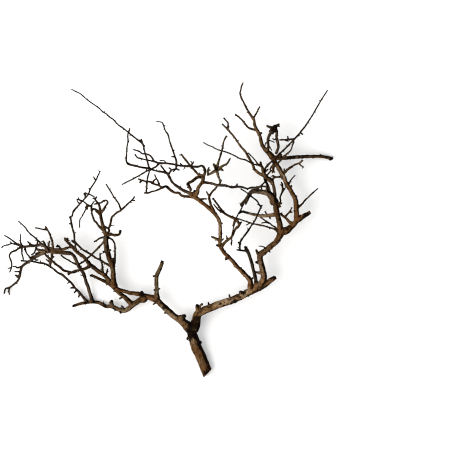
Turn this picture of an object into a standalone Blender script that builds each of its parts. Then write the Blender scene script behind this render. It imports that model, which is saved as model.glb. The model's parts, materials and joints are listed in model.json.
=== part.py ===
"""A fallen tree branch, bare and dead, lying on the ground.

Metres, +Z up. The branch is spread out in the XY plane: +X runs along its longest spread, +Y from the cut
butt towards the crown. The origin is on the ground, under the middle of the spread. The branch rests on the
underside of its butt, on the broken end of its left lower limb and on the blunt end of its dead stub.
"""
import bisect
import math

import bmesh
import bpy
from mathutils import Vector

# Driving dimensions
MM = 0.001
BARK_DEPTH = 0.0004       # bark over the wood, all round
GAP = 0.0003              # between two pieces at a fork
CLEAR = 0.0012            # room that a fork's arms need beside each other before they are parted
CUT_RUN = 0.004           # straight run on each side of a parting
LIMB_STEP = 0.026         # length of one facet along a limb
TWIG_STEP = 0.034         # length of one facet along a twig
ROOT_ROOM = 0.005         # a tube has a ring where another grows from it, no closer than this to the next
LIMB_RADIUS = 0.0042      # from this radius a stretch is a limb, with six sides
STOUT_RADIUS = 0.0068     # and from this one it has eight
TRUNK_RADIUS = 0.0124     # and from this one ten
SPAN_STEPS = 6            # steps of the smooth curve between two plan points
HEADING_REACH = 0.002     # a line's direction is read this far to each side of a point
WELD = 0.00001
BUTT_PLACE = (0.100, -0.3595, 0.0129)     # the middle of the cut face
BUTT_FACING = (0.728, -0.685, 0.0)        # the way the cut face looks
SAW_SIZE = 0.08

# Every stretch of wood is (name, grows from, radii, heights, plan). All are millimetres. The radii are those
# of the wood inside the bark, and run from root to tip, evenly spread. The heights are those of the centre
# line above the ground, evenly spread too. A stretch that grows from another starts on that one's centre
# line, so its own root has no height. The first stretch of each piece is its main one.
TREE = {
    "trunk": [
        ("stem", None, (12.4, 12.6, 13, 11), (11.8, 15, 21, 27.5),
         [(102, -369.5), (97, -357), (82.5, -320), (73, -300), (66, -280), (59, -260), (57, -250)]),
        ("stem snag", "stem", (3.6, 2.2), (26,), [(58, -267), (47, -274), (43, -278)]),
    ],
    "right_limb": [
        ("right limb", "stem", (10.8, 9.6, 9, 8.4, 8.2, 8.6, 8.2), (35, 39, 42, 44, 46),
         [(62, -255), (68, -240), (72, -220), (77, -211), (90, -204), (120, -192), (140, -185), (160, -178),
          (180, -169.5), (200, -159), (215, -152), (230, -145)]),
        ("right end stub", "right limb", (7.6, 6.4, 5), (44, 41),
         [(224, -148), (245, -137), (255, -130), (270, -121)]),
        ("bend stub", "right limb", (4.4, 3.4), (46,), [(77, -211), (74, -200), (73, -188)]),
        ("bend prong", "right limb", (3.2, 2.2), (47,), [(80, -209), (79, -195), (87, -187)]),
        ("limb thorn 1", "right limb", (2.6, 1.4), (45,), [(104, -198), (101, -183)]),
        ("limb thorn 2", "right limb", (2.6, 1.4), (51,), [(156, -179), (153, -163)]),
        ("limb lump", "right limb", (5, 3.6), (53,), [(183, -168), (187, -158)]),
    ],
    "left_limb": [
        ("left limb", "stem", (10.4, 8.8, 7.2, 7.6, 7, 7), (31, 34, 36, 38),
         [(55, -250), (45, -239.5), (29.5, -227), (16, -219), (4.7, -209), (-6.5, -199), (-19, -187),
          (-27, -176)]),
        ("left knob", "left limb", (4.6, 4.6), (46,), [(27, -225.5), (35, -219), (46, -212)]),
        ("left thorn 1", "left limb", (2.6, 1.6), (33,), [(3, -207), (-10, -211)]),
        ("left thorn 2", "left limb", (2.8, 1.4), (35,), [(-24, -180), (-38, -190)]),
    ],
    "snag": [
        ("snag", "left limb", (5.2, 4.6, 4.4, 4.8, 4.8, 4.2), (44, 50, 57, 62),
         [(-27, -177), (-28, -165), (-28, -150), (-29, -130), (-28, -118), (-24, -107), (-18, -95),
          (-13, -79.5)]),
        ("snag thorn 1", "snag", (2.4, 1.4), (53,), [(-28, -116), (-38, -119)]),
        ("snag thorn 2", "snag", (2.4, 1.3), (48,), [(-28, -150), (-36, -154)]),
        ("snag thorn 3", "snag", (2.4, 1.3), (50,), [(-28, -148), (-20, -151)]),
    ],
    "left_upper_limb": [
        ("upper limb", "left limb", (6.6, 6, 4.8, 4.2, 4.2, 4.6), (38, 38, 37, 36),
         [(-27, -176), (-50, -170), (-65, -165), (-73, -163), (-86, -161), (-95, -161), (-105, -157),
          (-124, -151), (-134, -146)]),
        ("upper knot", "upper limb", (4.6, 3.2), (43,), [(-64, -165), (-66, -156)]),
    ],
    "left_lower_limb": [
        ("lower limb", "upper limb",
         (6.4, 6, 5.6, 5.3, 4.4, 4, 3.5, 3.1, 2.8), (31, 24, 17, 11, 7, 4.7, 3.3),
         [(-55, -169), (-61, -176.5), (-70, -178), (-81, -185.5), (-92, -193.5), (-101, -201),
          (-109.5, -204.7), (-119, -203.5), (-137, -195.6), (-146, -193.6), (-156, -193.5), (-165, -189),
          (-175, -185), (-190, -183), (-210, -185.5), (-229, -190), (-240, -194)]),
        ("lower knob", "lower limb", (4, 3.4), (26,), [(-140, -195), (-141, -186), (-141, -179)]),
        ("lower stub", "lower limb", (3, 2.4), (22,), [(-116, -204), (-119, -212)]),
        ("lower thorn", "lower limb", (2.6, 1.4), (32,), [(-110, -204), (-113, -196), (-117, -192)]),
    ],
    "side_branch": [
        ("side branch", "lower limb", (5.2, 5, 4.6, 4, 3.2, 2.6), (27, 24, 23, 25, 27),
         [(-88, -190), (-95, -184), (-101.5, -177.5), (-108, -171), (-121, -161), (-133, -150),
          (-149, -136), (-168.5, -126.5), (-188, -118), (-196, -117)]),
        ("side thorn", "side branch", (2, 1.2), (22,), [(-112, -168), (-122, -176)]),
    ],
    "tall_limb": [
        ("tall limb", "upper limb", (5.4, 5.5, 5.6, 5.9, 6, 5.9, 4.8, 3.8, 3), (44, 53, 61, 68, 75, 81, 87),
         [(-133, -147), (-135, -131), (-136.6, -118.5), (-137.4, -106), (-139, -93), (-141.4, -83.5),
          (-146, -75.5), (-149, -64), (-152.5, -51.6), (-154, -39), (-155, -26), (-153.5, -18), (-158, -7),
          (-161, 4), (-166, 25), (-168, 41)]),
        ("left prong", "tall limb", (2.6, 2.2, 1.6), (89, 92),
         [(-168, 40), (-171.4, 60), (-180, 72.6), (-177, 81)]),
        ("hook twig", "tall limb", (2.5, 2, 1.5), (91, 96, 99),
         [(-168, 38), (-161, 47), (-156, 55), (-150, 65), (-153, 71), (-161, 69.5), (-167, 65),
          (-185, 61.5)]),
        ("tall thorn 1", "tall limb", (2.6, 1.8), (72,), [(-150, -56), (-142, -52)]),
        ("tall thorn 2", "tall limb", (2.2, 1.3), (66,), [(-151, -58), (-163, -57)]),
        ("tall thorn 3", "tall limb", (2.2, 1.3), (66,), [(-144, -78), (-134, -73)]),
        ("right fan twig", "tall limb", (3, 2.6, 2.3, 2.1, 1.9, 1.5, 1.1), (86, 94, 100, 104, 107),
         [(-154, -18), (-146.7, -5.5), (-147.5, 1), (-143.5, 10.5), (-139.5, 28), (-134, 34), (-126, 41),
          (-118, 45.5), (-107, 55), (-97, 64.7), (-88, 72.6), (-82, 80.6)]),
        ("right fan tip", "right fan twig", (1.3, 1), (108,), [(-89, 72), (-81, 70)]),
        ("left fan twig", "right fan twig", (1.6, 1.3, 0.9), (106, 110, 114),
         [(-117, 46), (-121, 60), (-127.6, 71), (-134, 79), (-140, 90), (-146.7, 101), (-154, 112.5)]),
        ("fan link", "tall limb", (2, 1.8), (89,), [(-161, 7), (-152, 3), (-147.5, 1)]),
        ("short right twig", "tall limb", (3.2, 2.8, 2.6), (80, 83),
         [(-154, -16), (-142, -13.4), (-135.6, -15), (-126, -15), (-120.4, -12), (-118, -3)]),
        ("left hub twig", "tall limb", (2, 1.2), (79,),
         [(-154, -19), (-169, -23), (-177, -28), (-185, -32.6)]),
        ("loop twig", "tall limb", (2.6, 2, 1.8), (58, 68, 74),
         [(-138, -99), (-133, -84), (-132, -72), (-132.4, -48.5), (-133, -36), (-139, -27), (-151, -20)]),
        ("diagonal twig", "tall limb", (2.4, 2.1, 1.9), (69, 67, 68),
         [(-155, -27), (-170, -43.6), (-181, -55), (-192, -66), (-205, -77), (-213, -83.5), (-221, -88)]),
        ("high twig", "tall limb", (2.8, 2.4, 2, 1.8), (84, 90, 94),
         [(-159, -5), (-170.6, 6), (-177, 15), (-183, 20), (-186, 28), (-189, 38), (-190.6, 50),
          (-189, 58)]),
        ("high link", "tall limb", (2.6, 2.2), (92,), [(-167, 34), (-175, 44), (-180, 48.7), (-190, 50)]),
        ("high left twig", "high twig", (1.8, 1.4, 1.1), (98, 100),
         [(-189.5, 56), (-200, 60), (-207, 66), (-214, 70), (-226, 74)]),
        ("hanging twig", "high left twig", (1.2, 0.9, 0.8), (96, 90, 84),
         [(-199, 59.5), (-204, 50), (-208, 42), (-214, 31), (-219, 23), (-220, 12), (-220, 2.5)]),
    ],
    "curved_twig": [
        ("curved twig", "tall limb",
         (2.6, 2.1, 2, 2, 2, 1.8, 1.7, 1.6, 1.3, 0.9), (56, 57, 59, 63, 68, 74, 80, 86, 92),
         [(-139, -93), (-147, -91), (-160, -84), (-170, -77), (-180, -72.5), (-191, -64.5), (-199, -60),
          (-212, -52), (-223, -42), (-232.8, -31), (-233.6, -20), (-234.4, -12), (-239, 4), (-242.4, 28),
          (-238.4, 33), (-236.8, 41), (-231, 50), (-222, 60), (-206, 77), (-198, 87), (-193, 100),
          (-179.4, 120.5), (-174, 133), (-168, 144.5)]),
        ("curved thorn 1", "curved twig", (1.2, 0.8), (90,), [(-180, 119), (-186, 131)]),
        ("curved stub", "curved twig", (1.8, 1.3), (60,), [(-228, -36), (-241, -28)]),
        ("curved side twig", "curved twig", (1.3, 0.9), (80,),
         [(-207, 76), (-205, 87), (-195, 86), (-182, 79)]),
    ],
    "left_middle_limb": [
        ("middle limb", "upper limb", (5.2, 5.1, 5, 4.8, 4.4, 4, 3.6, 3, 2.2), (40, 44, 48, 52, 56, 59),
         [(-133, -147), (-140, -139), (-150, -126), (-159, -115.4), (-168.5, -109), (-178, -103.4),
          (-187.6, -94.6), (-194, -90), (-200.4, -82), (-210, -70), (-219.5, -63.5), (-229, -56),
          (-235, -49), (-243, -40.7), (-252.6, -31), (-259, -21.5)]),
        ("middle fork tip", "middle limb", (1.8, 1.2), (60,), [(-251, -33), (-250, -22)]),
        ("middle twig 1", "middle limb", (2.4, 1.8, 1.4), (46, 47),
         [(-161, -113), (-164, -100), (-165, -88), (-168.5, -75.5), (-170, -60)]),
        ("middle twig 2", "middle limb", (2, 1.4), (50,), [(-156, -118), (-153, -109), (-151, -99.5)]),
        ("low twig", "middle limb", (3.4, 3, 2.7, 2.3), (50, 50, 50),
         [(-193, -90), (-205, -99), (-215, -100.5), (-225, -104), (-237, -107), (-251, -114)]),
        ("low long twig", "low twig", (2.7, 2.6, 2.5, 2.2), (52, 55, 59, 61),
         [(-228, -105), (-240, -109), (-251, -106), (-260.6, -103.6), (-270, -95), (-280, -88.5),
          (-289, -80.5), (-303, -66)]),
    ],
    "cross_limb": [
        ("cross limb", "lower limb", (4, 3.8, 3.6, 3.7, 4, 4, 3.8), (14, 22, 30, 36, 41, 45, 47),
         [(-189, -183), (-192.4, -171), (-197, -157), (-200.4, -144), (-205.5, -131.5), (-209, -118.5),
          (-213.5, -108), (-219, -99), (-224.5, -91), (-229, -81), (-234.5, -69), (-241, -62),
          (-249, -60)]),
        ("cross twig", "cross limb", (1.8, 1.5, 1.3), (42, 43),
         [(-225, -90), (-237, -85.5), (-248, -79), (-259, -72.5), (-268, -65)]),
    ],
    "far_left_limb": [
        ("far left limb", "cross limb", (3.8, 4, 4.4, 4.4, 3.6, 2.6), (48, 50, 52, 53),
         [(-245, -61), (-256, -60), (-265, -60), (-277, -57.5), (-289, -57), (-302, -56), (-311.6, -55),
          (-321, -54), (-328, -50)]),
        ("far left second", "far left limb", (3.8, 3.4, 3.2), (51, 51),
         [(-291, -57), (-284.5, -53), (-273, -52), (-261, -51), (-250, -46.5)]),
        ("mass stub 1", "far left limb", (2.4, 1.8), (55,), [(-270, -59), (-268, -50), (-277, -40)]),
        ("dark up twig", "far left limb", (2.6, 2.4, 2, 1.6), (57, 62, 66),
         [(-286, -57), (-288.5, -34), (-292.4, -21.5), (-297, -9), (-302, 1), (-306, 7)]),
        ("dark side twig", "dark up twig", (1.6, 1.1), (68,),
         [(-301, -2), (-310, -1.6), (-321, 1), (-332, 3)]),
        ("mass stub 2", "far left limb", (2.4, 1.7), (57,), [(-297, -56), (-298, -40), (-295.6, -29.5)]),
        ("down twig", "far left limb", (2.4, 2.2, 2), (47, 44),
         [(-290, -57), (-291, -75), (-294, -89), (-294, -98)]),
        ("down thorn", "down twig", (1.3, 1), (50,), [(-290, -74), (-284, -68)]),
    ],
    "far_left_spray": [
        ("spray limb", "far left limb", (3.6, 3.4, 3.1, 2.9, 2.8, 2.8), (56, 59, 61, 62),
         [(-300, -56), (-306, -45), (-315, -39), (-324, -41), (-334, -42), (-345, -43), (-356, -44.5),
          (-366, -44)]),
        ("spray twig a", "spray limb", (1.5, 1.2, 1), (66, 68),
         [(-363, -44), (-367, -37), (-368, -28), (-368, -12)]),
        ("spray twig b", "spray limb", (1.8, 1.3, 1), (66, 69),
         [(-365, -44), (-375, -38), (-383, -33), (-393, -25.5), (-401, -20), (-409, -16)]),
        ("spray twig c", "spray limb", (1.7, 1.2, 0.9), (60, 57),
         [(-365, -44), (-375, -40.5), (-390, -37), (-399, -40), (-409, -42), (-417, -47)]),
        ("spray thorn", "spray twig c", (1, 0.8), (60,), [(-389, -37), (-395, -31)]),
        ("spray twig d", "spray limb", (2, 1.7, 1.5, 1.2), (60, 56, 52),
         [(-365, -44), (-374, -49.5), (-382, -55), (-390.5, -58), (-396, -66), (-394, -74), (-390.5, -84),
          (-390.5, -93), (-392, -100), (-396, -109)]),
        ("spray twig e", "spray limb", (1.6, 1.2), (58,),
         [(-365, -45), (-365, -60), (-362.6, -69), (-361, -77)]),
        ("spray twig f", "spray limb", (1.6, 1.2), (56,),
         [(-358, -45), (-354, -59), (-347, -68), (-342, -74)]),
        ("spray stub", "spray limb", (1.8, 1.2), (64,), [(-334, -42), (-343, -38), (-351, -31)]),
        ("spray hook", "spray limb", (1.6, 1.2), (58,),
         [(-328, -41.5), (-331, -53), (-335, -61), (-342, -65)]),
        ("long thin twig", "spray limb", (1.9, 1.5, 1.2, 0.9), (64, 68, 70),
         [(-313, -40), (-319, -34.5), (-324, -29.5), (-332, -21.5), (-342, -13.5), (-350, -5.6), (-357, 5),
          (-374, 20)]),
        ("spray short stub", "spray limb", (1.6, 1.2), (62,), [(-312, -40), (-309, -35), (-311, -29)]),
    ],
    "foot_branch": [
        ("foot branch", "far left limb",
         (4, 3.8, 3.2, 3, 2.8, 2.5, 2.2, 1.9, 1.6), (48, 42, 34, 25, 17, 9, 6),
         [(-305, -56), (-318, -63), (-329, -69), (-337, -74), (-345, -80.5), (-353, -85), (-361, -90),
          (-367, -96.5), (-370, -109), (-373, -122), (-378, -132), (-388, -140), (-399, -148),
          (-409, -162)]),
        ("foot tip", "foot branch", (1.6, 1.2), (5,), [(-397, -146), (-399, -156), (-397.7, -166)]),
        ("foot stub", "foot branch", (2, 1.4), (22,), [(-372, -119), (-384, -115.5)]),
        ("foot twig", "foot branch", (1.8, 1.4, 1.1), (34, 34),
         [(-365, -94), (-377, -97), (-382, -94), (-389, -94.5)]),
        ("foot thorn", "foot branch", (1.5, 1.1), (46,), [(-334, -72), (-330, -78), (-324, -77)]),
    ],
    "sweep_limb": [
        ("sweep limb", "lower limb",
         (3.2, 2.7, 2.5, 2.4, 2.3, 2.2, 2, 1.8, 1.6, 1.3), (10, 14, 18, 22, 26, 29, 31, 32),
         [(-204, -184), (-213, -171), (-222, -160), (-232, -149), (-241.5, -136), (-251, -128),
          (-259, -120.5), (-265, -115), (-276.5, -109), (-286, -101), (-294, -95), (-302, -90), (-312, -86),
          (-321, -85), (-331, -83), (-340, -81), (-353, -80.5), (-369, -79.5)]),
        ("sweep thorn 1", "sweep limb", (1.7, 1.1), (20,), [(-234, -146), (-245, -148)]),
        ("sweep thorn 2", "sweep limb", (1.7, 1.1), (16,), [(-229, -152), (-236, -161)]),
        ("sweep thorn 3", "sweep limb", (1.7, 1.1), (14,), [(-220, -162), (-225, -172)]),
    ],
    "inner_limb": [
        ("inner limb", "right limb",
         (7, 5.6, 5.2, 4.8, 4.6, 4.3, 4.1, 4.3, 4.1, 4, 4.2, 4.5, 4.4, 4.6, 5.4),
         (50, 57, 63, 69, 74, 79, 84, 89, 94, 98, 100),
         [(208, -155), (206.8, -139), (204.6, -127), (195.6, -117), (184.5, -105.5), (173, -94.5),
          (163, -82), (151, -69.5), (142, -61), (135, -50), (130, -41), (130, -29), (130.8, -15),
          (130.8, -3), (130, 9.5), (126.5, 23.5), (117.7, 37.5), (107, 48), (96.6, 57), (86, 65.6),
          (77, 72.6), (70, 78), (62, 85.7)]),
        ("inner stub 1", "inner limb", (2.8, 2), (82,), [(130, -28), (119, -24), (108, -19)]),
        ("inner stub 2", "inner limb", (2.8, 2), (78,), [(131, -43), (120, -40)]),
        ("inner thorn 1", "inner limb", (2, 1.2), (82,), [(130, -31), (140, -24)]),
        ("inner thorn 2", "inner limb", (2, 1.2), (92,), [(129, 14), (137, 13)]),
        ("inner lump", "inner limb", (3.6, 3), (75,), [(151, -70), (144, -76)]),
        ("inner side twig", "inner limb", (2.1, 1.6, 1.3), (99, 100), [(77, 72.6), (90, 75), (98, 74.5)]),
        ("inner dark stub", "inner limb", (2.6, 1.8), (104,), [(63, 85), (67, 97)]),
    ],
    "elbow_branch": [
        ("elbow branch", "inner limb",
         (3.4, 3, 2.7, 2.6, 2.8, 3, 2.9, 2.6, 2.4, 2.1, 1.7), (76, 80, 84, 87, 89, 91, 92),
         [(132, -46), (140.5, -36), (151, -27.4), (160, -18.6), (165, -8), (170, 1), (176, 6), (178, 13),
          (170, 23.5), (160, 29), (149, 34), (139, 41), (132, 50), (124.7, 60), (117.7, 69), (112, 77.5)]),
        ("elbow thorn 1", "elbow branch", (1.7, 1.1), (82,), [(149, -29), (146.6, -16)]),
        ("elbow thorn 2", "elbow branch", (2, 1.4), (88,), [(177, 9), (184, 18)]),
        ("elbow second twig", "elbow branch", (1.6, 1.4), (96, 98),
         [(144, 37), (128, 46), (120, 55), (114, 62)]),
        ("elbow cross twig", "elbow branch", (1.6, 1.2), (84,), [(168, 25), (163.5, 12), (163, 6)]),
        ("elbow thin twig", "elbow branch", (1.2, 0.8), (72,), [(159, -20), (159.5, -31), (159, -42)]),
    ],
    "riser": [
        ("riser", "inner limb", (3.4, 3.1, 2.8, 2.3, 2.2, 2.2, 2.6, 4.4), (95, 98, 101, 104, 106, 108),
         [(114, 41), (112, 50), (107, 62), (104.5, 72), (103.7, 81), (110.7, 92), (117.7, 99), (123, 106),
          (129, 112), (131, 119), (127, 129), (124.7, 137.5), (122, 148)]),
        ("riser thorn", "riser", (1.8, 1.2), (101,), [(103.7, 82), (96, 94)]),
        ("riser link", "riser", (3.2, 2.8, 2.6), (106, 103),
         [(122, 147), (115.5, 143), (106, 137), (98, 133.5)]),
        ("riser twig", "riser", (3.2, 2.8, 2.2, 1.5), (110, 112),
         [(122, 147), (131.5, 153), (139.4, 158), (147, 162), (152, 169), (156, 177)]),
        ("riser stub 1", "riser", (2.8, 2.3), (113,), [(121, 147), (118, 154), (114, 163)]),
        ("riser stub 2", "riser", (2.6, 2.2), (106,), [(123, 146), (131, 149), (139, 145)]),
        ("riser stub 3", "riser link", (1.9, 1.4), (108,), [(100, 135), (100, 144), (103, 154)]),
        ("straight twig", "riser", (2.6, 2.1, 1.8, 1.5), (113, 118, 122),
         [(122, 148), (124, 158), (128, 172), (133, 188), (137, 204), (139.4, 216.5), (146.6, 232.5)]),
    ],
    "top_left_branch": [
        ("top left branch", "inner limb",
         (4, 3.5, 3, 2.7, 2.5, 2.1, 2, 2, 2.2, 2.5, 1.8, 1.5, 1.3, 1.2, 1),
         (104, 107, 109, 110, 112, 115, 119, 123),
         [(62, 85.7), (55, 89), (40.6, 95), (29.4, 102), (18, 110), (10, 118), (5.5, 127), (1, 135),
          (-4, 139), (-13, 142), (-26, 144), (-35.6, 147), (-45, 150.6), (-58, 152), (-69, 154), (-80, 157),
          (-91, 159.4), (-99, 162.5), (-103, 169), (-103, 179), (-101.7, 192), (-101, 206), (-98.5, 218),
          (-99, 229), (-98.5, 238), (-96, 245), (-93.5, 252)]),
        ("top left spur 1", "top left branch", (1.9, 1.3), (107,),
         [(-3, 138.5), (-11.6, 150.6), (-18, 159)]),
        ("top left spur 2", "top left branch", (1.6, 1.1), (112,), [(1, 135), (8, 147), (2, 153)]),
    ],
    "middle_left_branch": [
        ("middle left branch", "inner limb",
         (3.6, 3, 2.7, 2.6, 3, 2.4, 2.1, 1.9, 1.6, 1.3), (97, 94, 91, 89, 87, 86),
         [(68, 80), (57, 80), (47, 81), (34, 83.4), (28, 89), (16.7, 90.6), (8.7, 95.4), (1, 102),
          (-4, 106), (-15, 104), (-23, 109), (-34, 112), (-43.5, 117), (-54.7, 118.7), (-64, 121),
          (-75, 125)]),
        ("middle left stub", "middle left branch", (1.5, 1.1), (86,), [(-64, 121), (-71, 114)]),
        ("middle left twig", "middle left branch", (1.5, 1.2, 0.9), (94, 98),
         [(-21, 108), (-24.4, 119), (-29, 127), (-33, 136)]),
        ("light twig", "middle left branch", (2.2, 1.8, 1.5, 1.3), (87, 84, 83),
         [(-10, 105), (-24, 98), (-32, 95), (-41, 93), (-48, 90), (-60, 90)]),
    ],
    "long_wand": [
        ("long wand", "light twig",
         (1.6, 1.6, 1.5, 1.6, 1.6, 1.6, 1.6, 1.6, 1.5, 1.4, 1.3, 1.2, 1.1, 1, 0.9, 0.8),
         (94, 99, 102, 106, 110, 113, 115, 117, 118, 119, 120, 120),
         [(-53, 90), (-53, 103), (-52, 114), (-50.7, 127), (-46.7, 141), (-46, 150.6), (-49, 162),
          (-52, 173), (-54.7, 182.5), (-58, 195), (-60, 206), (-64, 213), (-70, 218), (-79, 225),
          (-92, 235), (-101, 243), (-111, 251), (-125, 261), (-134, 271), (-144, 278), (-152, 286),
          (-162, 292), (-171, 301), (-181, 308), (-192.5, 316), (-204, 325), (-212.6, 332.5), (-220, 338),
          (-230, 342.6), (-240, 347.6)]),
        ("wand spur", "long wand", (1.5, 1.1), (118,), [(-61, 208), (-66, 224)]),
    ],
    "top_hub": [
        ("hub limb", "inner limb", (4.2, 4, 3.8, 3.7, 3.8, 4, 4.9), (102, 104, 104, 104),
         [(65, 83), (71, 86), (74, 92), (75.7, 102), (82, 111), (88, 121), (88, 131)]),
        ("hub loop", "hub limb", (3.4, 3.2, 3, 3.1, 3.2, 3.2), (105, 107, 108, 109),
         [(87, 130), (77, 129.6), (69, 125.6), (60, 118), (51, 113), (54, 105), (58, 94)]),
        ("up left twig", "hub limb", (3.2, 2.6, 2.2, 1.9, 1.6), (103, 102, 104, 108, 112),
         [(87, 131), (77, 135), (69, 143), (62, 151), (55, 159), (47, 169), (40.6, 177), (33, 186.5)]),
    ],
    "shelf_twig": [
        ("shelf twig", "hub limb",
         (3, 2.7, 2.5, 2.4, 2.3, 2.2, 2.1, 2, 2, 1.9, 1.7, 1.5, 1.3),
         (110, 112, 113, 115, 116, 118, 119, 121),
         [(88, 130), (92, 138), (93, 146), (90, 153), (85, 157.5), (75.7, 155), (66, 155), (53, 156),
          (40.6, 156.7), (28, 158), (15, 160.7), (1, 163), (-10, 164), (-23, 164), (-34, 168), (-43.5, 170),
          (-55, 172), (-67, 175), (-76, 178), (-82, 187)]),
        ("shelf fork", "shelf twig", (1.8, 1.6, 1.4, 1.2), (121, 124, 126),
         [(-34, 168), (-40, 179), (-47, 185), (-55, 187), (-63, 187), (-71, 193), (-86, 197.6)]),
        ("shelf down twig", "shelf twig", (1.8, 1.5, 1.2, 1.1, 0.9), (117, 116, 114, 112),
         [(-20, 164), (-29, 155), (-39, 150), (-55, 142.6), (-67, 135), (-80, 128), (-91, 122), (-99, 118),
          (-114.5, 110)]),
        ("shelf up twig", "shelf twig", (1.8, 1.6, 1.5, 1.3, 1.1, 0.8), (118, 122, 126, 128, 130),
         [(22, 159), (21.5, 170), (16.7, 184.6), (12, 199), (5.5, 216.5), (1, 234), (-6, 245), (-10.4, 258),
          (-15, 265.5), (-29, 267)]),
        ("shelf thorn 1", "shelf up twig", (1.2, 0.9), (122,), [(18, 180), (9, 180)]),
        ("shelf thorn 2", "shelf twig", (1.7, 1.2), (113,), [(21, 159), (20, 150), (13, 142)]),
    ],
    "long_right_twig": [
        ("long right twig", "hub limb",
         (3, 2.8, 2.7, 2.6, 2.5, 2.5, 2.3, 2.1, 1.9, 1.6), (108, 112, 114, 114, 113, 112),
         [(84, 114), (90, 116), (101, 114.5), (111, 113), (121, 109.6), (134, 108), (145, 108),
          (159, 103.5), (172, 105), (181.5, 105), (191, 102.5), (199, 100), (207, 102.5), (220, 103),
          (231, 106.5), (238, 112)]),
        ("long right thorn", "long right twig", (1.5, 1.1), (117,), [(171, 105), (174, 113)]),
    ],
    "dead_rod": [
        ("dead rod", "right limb", (4.4, 4, 3.8, 3.7, 3.6, 3.6), (54, 63, 71, 79, 85),
         [(221, -149), (220, -128), (216.5, -114), (213, -100), (210.6, -87), (205.4, -71), (200, -57),
          (193, -44)]),
        ("rod side twig", "dead rod", (2.4, 1.8, 1.4), (85, 88), [(198, -54), (184, -53.7), (171, -52)]),
        ("zigzag twig", "rod side twig",
         (2.1, 2, 1.9, 1.8, 1.8, 1.7, 1.6, 1.4, 1.3, 1.1), (89, 91, 92, 94, 96, 98, 98, 97),
         [(180, -53), (180, -36), (182.6, -29), (191, -17), (200, -4.6), (209, 9.5), (217.7, 22), (223, 34),
          (231.7, 54), (228, 60), (223, 69), (212, 78), (202, 86.6), (191, 94.5), (181, 100.6)]),
        ("zigzag thorn 1", "zigzag twig", (1.3, 1), (96,), [(231, 54), (236, 60)]),
        ("zigzag thorn 2", "zigzag twig", (1.4, 1), (92,), [(180, -38), (175, -32)]),
    ],
    "outer_limb": [
        ("outer limb", "right limb",
         (7.6, 7, 6.6, 6.6, 6.6, 6.8, 7, 6.6, 6.3, 6.4, 7, 8.4), (50, 53, 55, 57, 59, 60),
         [(228, -146), (236, -132), (240, -121), (239, -110), (236, -98), (232.5, -85), (230, -73),
          (231.5, -64), (241, -57), (250.7, -49), (260, -41), (270, -33), (276, -23), (284, -10),
          (287, -5)]),
        ("outer stub 1", "outer limb", (3.6, 2), (66,), [(231, -66), (225, -61), (220, -51)]),
        ("outer stub 2", "outer limb", (3.4, 2.6), (57,), [(233, -86), (228, -84), (218, -83)]),
        ("outer stub 3", "outer limb", (3.2, 2.2), (51,), [(238.5, -109), (231, -110), (217, -107)]),
        ("outer thin twig 1", "outer limb", (2, 1.7, 1.5, 1.3, 1.1, 1), (61, 61, 60),
         [(279, -17), (270, -4), (262, 1), (251, 4), (240, 7.7), (228, 10), (214, 13), (202, 16.5),
          (191, 20), (181, 23.5), (170, 27), (160, 30)]),
        ("outer thin twig 2", "outer limb", (1.8, 1.4, 1.1), (60, 58),
         [(281, -14), (273, 0), (262, 8), (253, 15), (244, 20), (237, 25), (229, 30)]),
    ],
    "crown_left_limb": [
        ("crown left limb", "outer limb",
         (6.8, 6.2, 6, 6, 6.4, 6.6, 5.6, 5, 4.6, 4.6, 4.8, 5.6, 4.8, 3.8, 2.8, 2.2),
         (65, 69, 73, 77, 81, 84, 87, 90, 93, 95, 97),
         [(283, -11), (280, 2), (279.4, 13), (276, 26), (273.5, 38), (271, 47), (269.5, 56), (266, 68),
          (265, 78), (264.4, 89), (262, 100), (259.7, 111), (256.5, 119), (251, 125), (245, 129),
          (240.5, 137), (237.3, 146), (235.7, 153), (232.6, 159), (231, 168.6)]),
        ("crown hanging twig", "crown left limb", (2.2, 1.7, 1.5, 1.4, 1.2), (78, 72, 68, 64),
         [(269, 57), (275, 60), (281, 68), (280.5, 78), (284, 88), (286, 97), (287, 109), (283, 118)]),
        ("crown hanging tip", "crown hanging twig", (1.3, 1), (68,), [(284.5, 90), (290, 97), (294, 104)]),
        ("crown cross twig", "crown left limb",
         (1.9, 1.6, 1.4, 1.2, 1, 0.9, 0.8), (101, 104, 106, 108, 109),
         [(234, 157), (223, 160), (215, 161), (207, 165), (194, 172), (180, 175), (169, 181), (154, 188),
          (142, 192.5), (126, 197), (110, 205), (100, 209), (88, 216)]),
        ("crown thin twig", "crown cross twig", (1.1, 0.9), (104, 106),
         [(226, 159.5), (217, 172), (209, 181), (200, 190)]),
    ],
    "arc_branch": [
        ("arc branch", "crown left limb",
         (6, 5.9, 5.6, 5.3, 5, 4.7, 4.3, 3.7, 2.9, 2), (85, 87, 88, 87, 85, 83, 80),
         [(267, 64), (263, 74), (258, 82), (248.5, 89), (237, 92), (226, 94), (215, 93.7), (207, 90.5),
          (200.7, 81), (192.7, 71), (181, 58.6)]),
        ("arc prong", "arc branch", (1.8, 1.2), (80,), [(195, 74), (190, 64), (186, 56)]),
        ("arc thin twig", "arc prong", (1.2, 0.9), (77, 74),
         [(189, 62), (183, 49), (177, 39.5), (171, 28)]),
        ("arc second twig", "arc branch", (2.4, 1.9, 1.6), (92, 94),
         [(243.5, 91.4), (247, 99), (247, 110), (243, 118)]),
        ("arc cross twig", "arc branch", (1.8, 1.5, 1.2), (93, 96),
         [(217, 94), (225, 101), (235, 110), (243, 118)]),
    ],
    "light_branch": [
        ("light branch", "crown left limb", (4.4, 4, 3.8, 3.5, 3.2, 3, 2.8, 2.6, 2.3), (70, 68, 66, 65, 64),
         [(274, 38), (264, 35), (253, 34), (242, 33), (231, 33), (220, 35), (210, 37), (200.7, 39.5),
          (191, 42), (183, 42.5), (176, 38)]),
        ("light thorn 1", "light branch", (2, 1.2), (68,), [(253, 34), (256, 24)]),
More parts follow.
